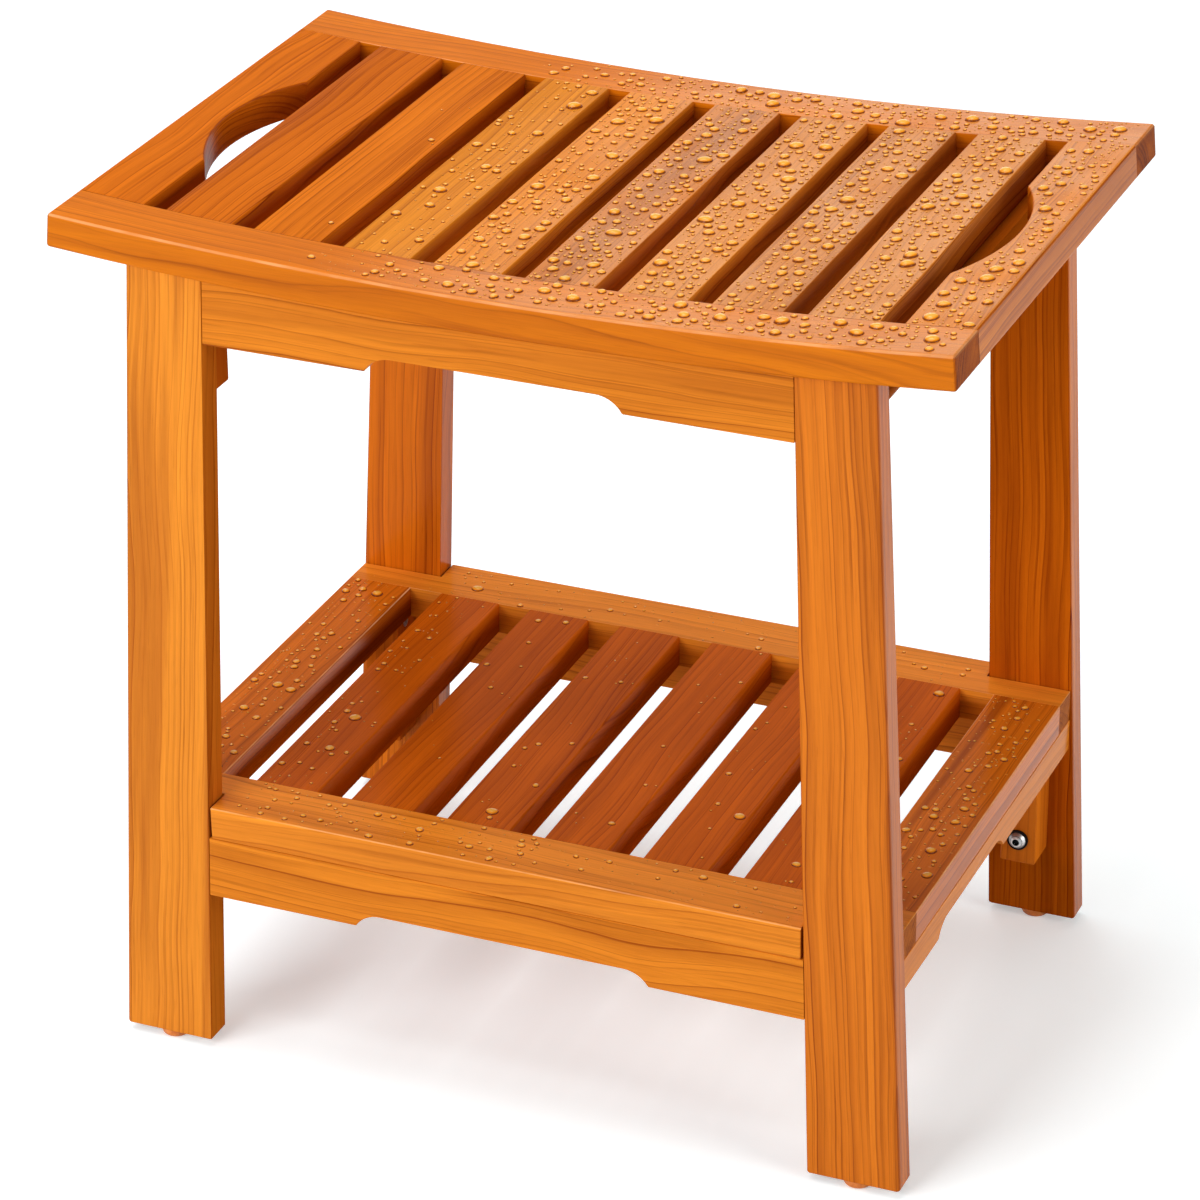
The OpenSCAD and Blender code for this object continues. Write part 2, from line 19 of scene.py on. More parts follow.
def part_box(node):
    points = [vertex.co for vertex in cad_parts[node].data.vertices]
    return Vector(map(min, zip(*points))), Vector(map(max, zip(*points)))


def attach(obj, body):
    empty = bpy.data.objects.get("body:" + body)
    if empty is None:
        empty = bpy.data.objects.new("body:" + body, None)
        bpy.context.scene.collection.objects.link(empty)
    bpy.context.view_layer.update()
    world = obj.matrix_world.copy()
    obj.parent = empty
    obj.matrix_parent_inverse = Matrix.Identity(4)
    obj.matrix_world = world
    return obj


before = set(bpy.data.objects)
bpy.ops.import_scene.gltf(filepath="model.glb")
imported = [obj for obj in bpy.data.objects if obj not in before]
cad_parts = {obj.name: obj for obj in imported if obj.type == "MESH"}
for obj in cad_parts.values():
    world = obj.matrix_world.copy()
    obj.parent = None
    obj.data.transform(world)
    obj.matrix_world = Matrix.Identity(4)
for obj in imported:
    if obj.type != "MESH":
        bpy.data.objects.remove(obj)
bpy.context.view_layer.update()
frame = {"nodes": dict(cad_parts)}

LOG = logging.getLogger("shower_bench")
BENCH = "bench"
MM = 1000.0
SEAT_RADIUS = 3.0782
CORNER_ANGLE = math.radians(32)
SHORT_EDGE = 0.0012
OUTER_BAND = 0.002
FACES = ("front", "rear")
SIDES = (("left", -1), ("right", 1))

Colour = tuple[float, float, float]
Point = tuple[float, float, float]
Socket = bpy.types.NodeSocket
Node = bpy.types.Node
Tree = bpy.types.NodeTree
Material = bpy.types.Material
Piece = bpy.types.Object


def linear(red: float, green: float, blue: float) -> Colour:
    """Turns a colour as a screen shows it, 0 to 255, into a linear one.

    Args:
        red: Red part.
        green: Green part.
        blue: Blue part.

    Returns:
        The linear colour, 0 to 1.
    """

    def one(value: float) -> float:
        """Linear value of one part."""
        share = value / 255
        return share / 12.92 if share <= 0.04045 else ((share + 0.055) / 1.055) ** 2.4

    return one(red), one(green), one(blue)


class Grain(Enum):
    """Direction in which a board's grain runs, with the turn that brings it onto X."""

    LENGTH = (0.0, 0.0, 0.0)
    DEPTH = (0.0, 0.0, -math.pi / 2)
    HEIGHT = (0.0, math.pi / 2, 0.0)


class Wiring:
    """Adds and links the nodes of one shader tree with short calls."""

    def __init__(self, tree: Tree) -> None:
        """Keeps the tree that the nodes go into."""
        self.tree = tree

    def add(self, kind: str, **settings: object) -> Node:
        """Adds a node.

        Args:
            kind: Blender's name of the node type.
            **settings: Properties to set on it.

        Returns:
            The new node.
        """
        node = self.tree.nodes.new(kind)
        for name, value in settings.items():
            setattr(node, name, value)
        return node

    def feed(self, socket: Socket, value: object) -> None:
        """Links a socket to an output, or sets it to a plain value.

        Args:
            socket: Input socket.
            value: Output socket, number, colour or vector.
        """
        if isinstance(value, Socket):
            self.tree.links.new(value, socket)
        elif socket.type == "RGBA" and len(value) == 3:
            socket.default_value = (*value, 1.0)
        else:
            socket.default_value = value

    def fill(self, node: Node, values: dict[str, object]) -> Node:
        """Feeds a node's inputs, each by its name, and returns the node."""
        for title, value in values.items():
            self.feed(node.inputs[title], value)
        return node

    def split(self, vector: Socket) -> Sequence[Socket]:
        """Parts of a vector along X, Y and Z."""
        return self.fill(self.add("ShaderNodeSeparateXYZ"), {"Vector": vector}).outputs

    def math(self, operation: str, *values: object, clamp: bool = False) -> Socket:
        """Adds a Math node.

        Args:
            operation: Blender's name of the operation.
            *values: Its operands.
            clamp: True to keep the result from 0 to 1.

        Returns:
            The result.
        """
        node = self.add("ShaderNodeMath", operation=operation, use_clamp=clamp)
        for socket, value in zip(node.inputs, values):
            self.feed(socket, value)
        return node.outputs[0]

    def use(self, tree: Tree, values: dict[str, object]) -> Node:
        """Places a group, with a value or an output for each input by its name."""
        return self.fill(self.add("ShaderNodeGroup", node_tree=tree), values)

    def vector(self, operation: str, *values: object) -> Socket:
        """Adds a Vector Math node and returns its result."""
        node = self.add("ShaderNodeVectorMath", operation=operation)
        for socket, value in zip(node.inputs, values):
            self.feed(socket, value)
        return node.outputs["Value" if operation in ("DOT_PRODUCT", "LENGTH") else "Vector"]

    def scale(self, vector: Socket, factor: object) -> Socket:
        """Scales a vector by one number."""
        node = self.add("ShaderNodeVectorMath", operation="SCALE")
        self.feed(node.inputs[0], vector)
        self.feed(node.inputs["Scale"], factor)
        return node.outputs[0]

    def noise(
        self, place: Socket, stretch: Point, detail: float = 2.0, shift: float = 0.0
    ) -> Node:
        """Adds a noise texture that is stretched along the axes of its place.

        Args:
            place: Place in millimetres.
            stretch: How often the noise changes in a millimetre along each axis.
            detail: Octaves of noise.
            shift: Moves the noise, so that two of them differ.

        Returns:
            The noise node.
        """
        scaled = self.vector("MULTIPLY_ADD", place, stretch, (shift, shift * 1.7, shift * 0.6))
        node = self.add("ShaderNodeTexNoise")
        return self.fill(node, {"Vector": scaled, "Scale": 1.0, "Detail": detail})

    def row_noise(
        self, place: Socket, pace: float, detail: float, shift: float = 0.0
    ) -> Socket:
        """Noise of one number, which changes at the pace given."""
        node = self.add("ShaderNodeTexNoise", noise_dimensions="1D")
        row = self.math("MULTIPLY_ADD", place, pace, shift)
        return self.fill(node, {"W": row, "Scale": 1.0, "Detail": detail}).outputs["Fac"]

    def bump(
        self, height: Socket, strength: float, distance: float, normal: object = None
    ) -> Socket:
        """Adds a Bump node.

        Args:
            height: Height of the surface.
            strength: How much of it shows.
            distance: What a height of 1 means.
            normal: Normal to start from, if it isn't the mesh's own.

        Returns:
            The normal.
        """
        node = self.add("ShaderNodeBump")
        self.fill(node, {"Height": height, "Strength": strength, "Distance": distance})
        if normal is not None:
            self.feed(node.inputs["Normal"], normal)
        return node.outputs["Normal"]

    def step(self, value: object, low: object, high: object) -> Socket:
        """Smooth step of a value from 0 at low to 1 at high."""
        node = self.add("ShaderNodeMapRange", interpolation_type="SMOOTHSTEP")
        self.fill(node, {"Value": value, "From Min": low, "From Max": high})
        return node.outputs["Result"]

    def mix(
        self, share: object, first: object, second: object, blend: str = "MIX"
    ) -> Socket:
        """Mixes two colours.

        Args:
            share: How much of the second shows.
            first: First colour.
            second: Second colour.
            blend: Blender's name of the way to mix.

        Returns:
            The mixed colour.
        """
        node = self.add("ShaderNodeMix", data_type="RGBA", blend_type=blend)
        self.feed(node.inputs[0], share)
        self.feed(node.inputs[6], first)
        self.feed(node.inputs[7], second)
        return node.outputs[2]


def new_group(
    name: str, inputs: dict[str, object], outputs: dict[str, str]
) -> tuple[Tree, Wiring, Node, Node]:
    """Makes an empty shader node group with named sockets.

    Args:
        name: Name of the group.
        inputs: Socket type by input name.
        outputs: Socket type by output name.

    Returns:
        The group, its wiring, its input node and its output node.
    """
    tree = bpy.data.node_groups.new(name, "ShaderNodeTree")
    for title, kind in inputs.items():
        tree.interface.new_socket(title, in_out="INPUT", socket_type=kind)
    for title, kind in outputs.items():
        tree.interface.new_socket(title, in_out="OUTPUT", socket_type=kind)
    wiring = Wiring(tree)
    return tree, wiring, wiring.add("NodeGroupInput"), wiring.add("NodeGroupOutput")


NUMBER = "NodeSocketFloat"
PLACE = "NodeSocketVector"
PAINT = "NodeSocketColor"


def teak_grain_group() -> Tree:
    """Builds the grain of teak, cut from a log whose heart runs along X through the origin.

    Returns:
        The node group.
    """
    tree, w, given, out = new_group(
        "teak_grain",
        {
            "Place": PLACE, "End Face": NUMBER, "Ring Gap": NUMBER, "Wave": NUMBER,
            "Ring Strength": NUMBER, "Streaks": NUMBER,
            "Pale": PAINT, "Deep": PAINT, "Streak": PAINT,
        },
        {"Color": PAINT, "Roughness": NUMBER, "Height": NUMBER},
    )
    place, end, gap, wave, strength, streaks, pale, deep, streak = given.outputs[:9]

    slow = w.noise(place, (0.0065, 0.014, 0.014), 1.0)
    bend = w.vector("SUBTRACT", slow.outputs["Color"], (0.5, 0.5, 0.5))
    bend = w.vector("MULTIPLY", bend, (0.0, 1.0, 1.0))
    bent = w.vector("ADD", place, w.scale(bend, wave))
    radial = w.vector("LENGTH", w.vector("MULTIPLY", bent, (0.0, 1.0, 1.0)))
    ripple = w.noise(place, (0.014, 0.06, 0.06), 3.0, 3.1).outputs["Fac"]
    ripple = w.math("MULTIPLY", w.math("SUBTRACT", ripple, 0.5), w.math("MULTIPLY", wave, 0.14))
    radial = w.math("ADD", radial, ripple)

    phase = w.math("DIVIDE", radial, gap)
    uneven = w.math("MULTIPLY", w.math("SUBTRACT", w.row_noise(radial, 0.05, 0.0), 0.5), 1.8)
    phase = w.math("ADD", phase, uneven)
    ring = w.math("FLOOR", phase)
    along = w.math("FRACT", phase)
    chance = w.add("ShaderNodeTexWhiteNoise", noise_dimensions="1D")
    w.feed(chance.inputs["W"], ring)
    early = w.math("MULTIPLY", w.step(along, 0.1, 0.95), 0.36)
    late = w.math("MULTIPLY_ADD", w.step(along, 0.87, 0.955), 0.64, early)
    late = w.math("MULTIPLY", late, w.step(along, 1.0, 0.96))
    weight = w.math("MULTIPLY_ADD", w.math("POWER", chance.outputs["Value"], 1.9), 0.95, 0.12)
    fade = w.step(w.noise(place, (0.007, 0.09, 0.09), 1.0, 17.3).outputs["Fac"], 0.36, 0.6)
    thin = w.math("MULTIPLY", w.step(w.row_noise(radial, 0.62, 3.0), 0.5, 0.7), fade)
    line = w.math("MAXIMUM", w.math("MULTIPLY", late, weight), w.math("MULTIPLY", thin, 0.5))
    middle = w.math("ABSOLUTE", w.math("SUBTRACT", w.row_noise(radial, 0.13, 1.0, 40.0), 0.5))
    come = w.step(w.noise(place, (0.006, 0.05, 0.05), 1.0, 25.1).outputs["Fac"], 0.4, 0.62)
    thread = w.math("MULTIPLY", w.step(middle, 0.075, 0.012), come)

    fibre = w.noise(place, (0.02, 0.85, 0.85), 4.0, 5.3).outputs["Fac"]
    fine = w.noise(place, (0.06, 3.2, 3.2), 2.0, 9.7).outputs["Fac"]
    tone = w.noise(place, (0.003, 0.05, 0.05), 2.0, 13.9).outputs["Fac"]
    pores = w.step(w.noise(place, (0.05, 1.9, 1.9), 1.0, 21.0).outputs["Fac"], 0.63, 0.72)
    band = w.noise(place, (0.0016, 0.05, 0.05), 2.0, 31.0).outputs["Fac"]
    band = w.math("MULTIPLY", w.step(band, 0.52, 0.66), streaks)

    colour = w.mix(w.math("MULTIPLY", line, strength, clamp=True), pale, deep)
    colour = w.mix(band, colour, streak)
    shade = w.math("MULTIPLY_ADD", w.math("SUBTRACT", fibre, 0.5), 0.34, 1.0)
    shade = w.math("MULTIPLY_ADD", w.math("SUBTRACT", tone, 0.5), 0.56, shade)
    shade = w.math("MULTIPLY_ADD", w.math("MULTIPLY", thread, strength), -0.24, shade)
    shade = w.math("MULTIPLY_ADD", w.math("SUBTRACT", fine, 0.5), 0.16, shade)
    shade = w.math("MULTIPLY_ADD", pores, -0.12, shade)
    shade = w.math("MULTIPLY_ADD", end, -0.6, shade)
    tint = w.add("ShaderNodeCombineXYZ")
    for socket, power in zip(tint.inputs, (0.75, 1.0, 1.25)):
        w.feed(socket, w.math("POWER", w.math("MAXIMUM", shade, 0.05), power))
    colour = w.mix(1.0, colour, tint.outputs[0], "MULTIPLY")
    w.feed(out.inputs["Color"], colour)

    rough = w.math("MULTIPLY_ADD", w.math("SUBTRACT", fibre, 0.5), 0.35, 0.4)
    rough = w.math("MULTIPLY_ADD", line, -0.06, rough)
    rough = w.math("MULTIPLY_ADD", end, 0.18, rough)
    w.feed(out.inputs["Roughness"], w.math("MULTIPLY_ADD", pores, 0.1, rough))

    height = w.math("MULTIPLY_ADD", pores, -0.8, w.math("MULTIPLY", fine, 0.35))
    height = w.math("MULTIPLY_ADD", fibre, 0.6, height)
    w.feed(out.inputs["Height"], w.math("MULTIPLY_ADD", line, -0.25, height))
    return tree


def hollow_shade_group() -> Tree:
    """Builds the masks of painted shade: Mask on faces that look into a slot or a hollow, rising
    below the board's top, and Far toward the rear, where it is deeper.

    Returns:
        The node group.
    """
    tree, w, given, out = new_group(
        "hollow_shade",
        {
            "Place": PLACE, "Facing": PLACE, "Inward": PLACE, "Both Sides": NUMBER,
            "Top": NUMBER, "Dish": NUMBER, "Start": NUMBER, "Depth": NUMBER,
        },
        {"Mask": NUMBER, "Far": NUMBER},
    )
    place, facing, inward, both, highest, dish, start, depth = given.outputs[:8]
    x, y, z = w.split(place)
    top = w.math("MULTIPLY_ADD", w.math("MULTIPLY", x, x), dish, highest)
    below = w.step(w.math("SUBTRACT", top, z), start, depth)
    toward = w.vector("DOT_PRODUCT", facing, inward)
    other = w.math("MULTIPLY", toward, w.math("MULTIPLY", both, -1.0))
    inner = w.step(w.math("MAXIMUM", toward, other), 0.3, 0.6)
    w.feed(out.inputs["Mask"], w.math("MULTIPLY", below, inner))
    w.feed(out.inputs["Far"], w.step(y, -0.1, 0.13))
    return tree


def painted_light_edge_group() -> Tree:
    """Builds the masks of a board's rounded edges, whose normals lie between those of its faces.

    Mask holds those of its ends and of its sides along the slots, Arris its upper ones. The
    materials paint shade on the first, a highlight on it for the shelf's end boards, and a
    highlight on the second.

    Returns:
        The node group.
    """
    tree, w, given, out = new_group(
        "painted_light_edge", {"Facing": PLACE}, {"Mask": NUMBER, "Arris": NUMBER}
    )
    facing = given.outputs["Facing"]
    x, y, z = w.split(w.vector("ABSOLUTE", facing))
    level = w.math("MAXIMUM", x, y)
    upper = w.math("MULTIPLY", w.math("MULTIPLY", level, w.split(facing)[2]), 2.0)
    w.feed(out.inputs["Arris"], w.step(upper, 0.5, 0.92))
    flat = w.math("MAXIMUM", level, z)
    turned = w.math("MULTIPLY", w.step(x, 0.15, 0.45), w.step(flat, 0.985, 0.88))
    w.feed(out.inputs["Mask"], turned)
    return tree


def socket_shade_group() -> Tree:
    """Builds the mask of painted shade in a bolt head's socket and of a dark ring round it.

    The heads stand at the same distance from the bench's middle to either side, with their axes
    along its depth.

    Returns:
        The node group.
    """
    tree, w, given, out = new_group(
        "socket_shade", {"Place": PLACE, "Axis": PLACE, "Hole": NUMBER}, {"Mask": NUMBER}
    )
    side = w.vector("MULTIPLY", w.vector("ABSOLUTE", given.outputs["Place"]), (1.0, 0.0, 1.0))
    away = w.vector("LENGTH", w.vector("SUBTRACT", side, given.outputs["Axis"]))
    share = w.math("DIVIDE", away, given.outputs["Hole"])
    hole = w.step(share, 1.0, 0.92)
    line = w.math("MULTIPLY", w.step(share, 1.5, 1.58), w.step(share, 1.74, 1.66))
    w.feed(out.inputs["Mask"], w.math("MAXIMUM", hole, w.math("MULTIPLY", line, 0.7)))
    return tree


def fine_beads_group() -> Tree:
    """Builds beads of water too small to be pieces, on surfaces that face up.

    Returns:
        The node group.
    """
    tree, w, given, out = new_group(
        "fine_beads",
        {"Place": PLACE, "Up": NUMBER, "Wet": NUMBER, "Size": NUMBER},
        {"Mask": NUMBER, "Height": NUMBER},
    )
    place, up, wet, size = given.outputs[:4]
    cells = w.add("ShaderNodeTexVoronoi", voronoi_dimensions="2D")
    w.fill(cells, {"Vector": place, "Scale": w.math("DIVIDE", 1.0, size)})
    red, green, _ = w.split(cells.outputs["Color"])
    radius = w.math("MULTIPLY_ADD", red, 0.28, 0.06)
    shown = w.math("LESS_THAN", green, wet)
    share = w.math("DIVIDE", cells.outputs["Distance"], radius)
    dome = w.math("SUBTRACT", 1.0, w.math("MULTIPLY", share, share), clamp=True)
    dome = w.math("MULTIPLY", w.math("SQRT", dome), shown)
    dome = w.math("MULTIPLY", dome, w.step(up, 0.9, 0.97))
    w.feed(out.inputs["Mask"], w.step(dome, 0.0, 0.35))
    w.feed(out.inputs["Height"], w.math("MULTIPLY", dome, radius))
    return tree


@dataclass(frozen=True)
class TeakFinish:
    """Colours and figure of one kind of teak board."""

    pale: Colour
    deep: Colour
    streak: Colour = linear(150, 62, 12)
    ring_gap_mm: float = 8.0
    ring_strength: float = 0.9
    wave_mm: float = 16.0
    streaks: float = 0.25
    coat: float = 0.15
    side_coat: float = 0.0
    # Share of painted light on the rounded ends and slot sides: edge_tone below 1 gives painted
    # shade, above 1 a painted highlight.
    painted_light: float = 0.0
    edge_tone: Colour = (0.62, 0.46, 0.3)
    # Painted highlight along the upper rounded edges, and its colour.
    arris_highlight: float = 0.0
    arris_highlight_tone: Colour = linear(255, 204, 148)
    # Share of the wet layer: it adds coat, and a paler colour that is painted sheen.
    wet_film_and_sheen: float = 1.0
    bead_size_mm: float = 0.0
    wet_from_x: float = -0.12
    wet_to_x: float = 0.06


@dataclass(frozen=True)
class Hollow:
    """Side of a board that looks into a slot or under the bench, given painted shade there."""

    inward: Point
    both_sides: bool = False
    top: float = 9.0
    dish: float = 0.0
    start: float = 0.0006
    depth: float = 0.011
    shade: Colour = (0.82, 0.68, 0.5)
    far_shade: Colour = (0.6, 0.43, 0.27)


@dataclass(frozen=True)
class LogCut:
    """Place in the log that a board was sawn from.

    The heart is the offset from the board's middle to the log's heart, across and through.
    """

    grain: Grain
    centre: Point
    heart_mm: tuple[float, float]
    shift_mm: float
    tilt: tuple[float, float] = (0.0, 0.0)


def new_material(
    name: str,
) -> tuple[Material, Wiring, Node, Socket]:
    """Makes a material with nothing but a Principled shader.

    Args:
        name: Name of the material.

    Returns:
        The material, its wiring, the shader and the socket that the shader feeds.
    """
    material = bpy.data.materials.new(name)
    material.use_nodes = True
    material.node_tree.nodes.clear()
    w = Wiring(material.node_tree)
    shader = w.add("ShaderNodeBsdfPrincipled")
    surface = w.add("ShaderNodeOutputMaterial").inputs["Surface"]
    w.feed(surface, shader.outputs["BSDF"])
    return material, w, shader, surface


@dataclass
class Workshop:
    """Makes the materials, from groups that it builds once."""

    teak_grain: Tree = field(default_factory=teak_grain_group)
    hollow_shade: Tree = field(default_factory=hollow_shade_group)
    painted_light_edge: Tree = field(default_factory=painted_light_edge_group)
    fine_beads: Tree = field(default_factory=fine_beads_group)
    socket_shade: Tree = field(default_factory=socket_shade_group)

    def teak(
        self, name: str, finish: TeakFinish, cut: LogCut, hollow: Hollow | None = None
    ) -> Material:
        """Makes the teak of one board.

        Args:
            name: Name of the material.
            finish: Colours and figure.
            cut: Place in the log.
            hollow: Side with painted shade, if there is one.

        Returns:
            The material.
        """
        material, w, shader, _ = new_material(name)
        where = w.add("ShaderNodeTexCoord")
        place, facing = where.outputs["Object"], where.outputs["Normal"]
        turn = Euler(cut.grain.value).to_matrix()
        whole = Euler((0.0, *cut.tilt)).to_matrix() @ turn
        middle = whole @ (Vector(cut.centre) * MM)
        mapping = w.fill(w.add("ShaderNodeMapping"), {
            "Vector": place,
            "Scale": (MM, MM, MM),
            "Rotation": whole.to_euler(),
            "Location": Vector((cut.shift_mm, *cut.heart_mm)) - middle,
        })
        axis = turn.inverted() @ Vector((1.0, 0.0, 0.0))
        end = w.math("ABSOLUTE", w.vector("DOT_PRODUCT", facing, tuple(axis)))
        grain = w.use(self.teak_grain, {
            "Place": mapping.outputs[0],
            "End Face": w.step(end, 0.8, 0.97),
            "Ring Gap": finish.ring_gap_mm,
            "Wave": finish.wave_mm,
            "Ring Strength": finish.ring_strength,
            "Streaks": finish.streaks,
            "Pale": finish.pale,
            "Deep": finish.deep,
            "Streak": finish.streak,
        })
        colour, rough, height = grain.outputs
        normal = w.bump(height, 0.35, 0.00012)
        coat: object = finish.coat
        if finish.side_coat > 0:
            sideways = w.split(w.vector("ABSOLUTE", facing))[0]
            coat = w.math("MULTIPLY_ADD", w.step(sideways, 0.6, 0.95), finish.side_coat, coat)
        # Painted shade on faces that look into a slot or under the bench, deeper toward the rear.
        if hollow:
            shade = w.use(self.hollow_shade, {
                "Place": place,
                "Facing": facing,
                "Inward": hollow.inward,
                "Both Sides": float(hollow.both_sides),
                "Top": hollow.top,
                "Dish": hollow.dish,
                "Start": hollow.start,
                "Depth": hollow.depth,
            })
            tone = w.mix(shade.outputs["Far"], hollow.shade, hollow.far_shade)
            colour = w.mix(shade.outputs["Mask"], colour, w.mix(1.0, colour, tone, "MULTIPLY"))
            coat = w.math("MULTIPLY", coat, w.math("SUBTRACT", 1.0, shade.outputs["Mask"]))
        # Painted light on the rounded edges: shade at the ends and slot sides (a highlight where
        # edge_tone is above 1), and a patchy painted highlight along the upper edges.
        if finish.painted_light > 0:
            edge = w.use(self.painted_light_edge, {"Facing": facing})
            share = w.math("MULTIPLY", edge.outputs["Mask"], finish.painted_light)
            colour = w.mix(share, colour, w.mix(1.0, colour, finish.edge_tone, "MULTIPLY"))
            patchy = w.step(w.noise(place, (40.0, 40.0, 40.0)).outputs[0], 0.3, 0.7)
            arris_highlight = w.math("MULTIPLY", w.math("MULTIPLY_ADD", patchy, 0.6, 0.4), finish.arris_highlight)
            arris_highlight = w.math("MULTIPLY", edge.outputs["Arris"], arris_highlight)
            colour = w.mix(arris_highlight, colour, finish.arris_highlight_tone)
        if finish.bead_size_mm > 0:
            normal, colour, rough, wet_film_and_sheen = self.wetted(w, where, finish, normal, colour, rough)
            coat = w.math("MULTIPLY_ADD", wet_film_and_sheen, 0.7, coat)
        w.fill(shader, {
            "Base Color": colour,
            "Roughness": rough,
            "Normal": normal,
            "Coat Weight": coat,
            "Coat Roughness": 0.22,
            "Specular IOR Level": 0.0,
        })
        return material

    def wetted(
        self,
        w: Wiring,
        where: Node,
        finish: TeakFinish,
        normal: Socket,
        colour: Socket,
        rough: Socket,
    ) -> tuple[Socket, ...]:
        """Adds a wet layer of water, with a paler colour that is painted sheen, and fine beads of
        water to a board's upper face.

        Args:
            w: Wiring of the board's material.
            where: Its texture coordinates.
            finish: Its finish.
            normal: Normal so far.
            colour: Colour so far.
            rough: Roughness so far.

        Returns:
            Normal, colour and roughness with the beads, and the wet layer's share.
        """
        spot = w.scale(where.outputs["Object"], MM)
        up = w.split(where.outputs["Normal"])[2]
        patch = w.noise(spot, (0.02, 0.02, 0.02), 1.0, 4.0).outputs["Fac"]
        wet = w.step(w.split(where.outputs["Object"])[0], finish.wet_from_x, finish.wet_to_x)
        wet = w.math("MULTIPLY", wet, w.math("MULTIPLY_ADD", patch, 0.9, 0.1))
        beads = w.use(
            self.fine_beads, {"Place": spot, "Up": up, "Wet": wet, "Size": finish.bead_size_mm}
        )
        mask, height = beads.outputs
        wet_film_and_sheen = w.math("MULTIPLY", w.math("MULTIPLY", wet, finish.wet_film_and_sheen), w.step(up, 0.9, 0.98))
        # Painted sheen: the wet layer turns the upper faces paler and pinker.
        colour = w.mix(w.math("MULTIPLY", wet_film_and_sheen, 0.3), colour, linear(228, 176, 104))
        # The fine beads are painted a paler gold, standing in for light focused through them.
        colour = w.mix(w.math("MULTIPLY", mask, 0.5), colour, linear(226, 146, 54))
        rough = w.math("MULTIPLY_ADD", mask, -0.3, rough, clamp=True)
        return w.bump(height, 0.9, 0.0012, normal), colour, rough, wet_film_and_sheen

    def metal(self, finish: "MetalFinish") -> Material:
        """Makes a turned metal with fine lines round its axis."""
        material, w, shader, _ = new_material(finish.name)
        place = w.add("ShaderNodeTexCoord").outputs["Object"]
        spot = w.scale(place, MM)
        cloud = w.noise(spot, (0.35, 0.35, 0.35), 3.0, 2.0).outputs["Fac"]
        lines = w.noise(spot, (0.6, 9.0, 0.6), 2.0, 6.0).outputs["Fac"]
        colour = w.mix(w.step(cloud, 0.35, 0.7), finish.colour, finish.dull)
        # Painted shade: the socket turns near black, and so does a ring round it.
        if finish.socket_at:
            values = {"Place": place, "Axis": finish.socket_at, "Hole": finish.socket_r}
            dark = w.use(self.socket_shade, values).outputs["Mask"]
            colour = w.mix(dark, colour, (0.012, 0.012, 0.014))
        rough = w.math("MULTIPLY_ADD", cloud, finish.uneven, finish.roughness)
        w.fill(shader, {
            "Base Color": colour,
            "Roughness": w.math("MULTIPLY_ADD", lines, 0.1, rough),
            "Metallic": 1.0,
            "Normal": w.bump(lines, 0.25, 0.00008),
        })
        return material

    def moulded(self, finish: "MouldedFinish") -> Material:
        """Makes a moulded plastic or rubber with a fine, uneven skin."""
        material, w, shader, _ = new_material(finish.name)
        spot = w.scale(w.add("ShaderNodeTexCoord").outputs["Object"], MM)
        cloud = w.noise(spot, (0.25, 0.25, 0.25), 3.0, 1.0).outputs["Fac"]
        skin = w.noise(spot, (4.0, 4.0, 4.0), 3.0, 8.0).outputs["Fac"]
        w.fill(shader, {
            "Base Color": w.mix(w.step(cloud, 0.3, 0.7), finish.colour, finish.shade),
            "Roughness": w.math("MULTIPLY_ADD", skin, 0.25, finish.roughness),
            "Specular IOR Level": finish.shine,
            "Normal": w.bump(skin, 0.3, 0.00006),
        })
        return material

    def water(self) -> Material:
        """Makes clear water that lets the lamps through to the wood under it, with a colour that
        is painted light.
        """
        material, w, shader, surface = new_material("clear_water")
        # Painted light: a golden body, brighter where the bead faces up, stands in for light
        # focused through it, and a dark rim for the shade that it refracts.
        up = w.split(w.add("ShaderNodeTexCoord").outputs["Normal"])[2]
        body = w.mix(w.step(up, 0.84, 0.99), linear(255, 168, 28), linear(255, 206, 88))
        w.fill(shader, {
            "Base Color": w.mix(w.step(up, 0.88, 0.62), body, linear(112, 52, 4)),
            "Roughness": 0.03,
            "IOR": 1.33,
            "Transmission Weight": 0.42,
        })
        open_way = w.fill(w.add("ShaderNodeBsdfTransparent"), {"Color": (1.0, 0.97, 0.9)})
        rays = w.add("ShaderNodeLightPath")
        lamps = w.math("MAXIMUM", rays.outputs["Is Shadow Ray"], rays.outputs["Is Diffuse Ray"])
        blend = w.add("ShaderNodeMixShader")
        for socket, value in zip(blend.inputs, (lamps, shader.outputs[0], open_way.outputs[0])):
            w.feed(socket, value)
        w.feed(surface, blend.outputs[0])
        return material


@dataclass(frozen=True)
class MetalFinish:
    """A metal of the hardware."""

    name: str
    colour: Colour
    dull: Colour
    roughness: float
    uneven: float = 0.12
    socket_at: Point | None = None
    socket_r: float = 0.0023


@dataclass(frozen=True)
class MouldedFinish:
    """A moulded plastic or rubber."""

    name: str
    colour: Colour
    shade: Colour
    roughness: float
    shine: float = 0.5


PLAN_SOCKETS = ("Joint Y", "Joint Share", "Outer X", "Outer Y", "Fine X")


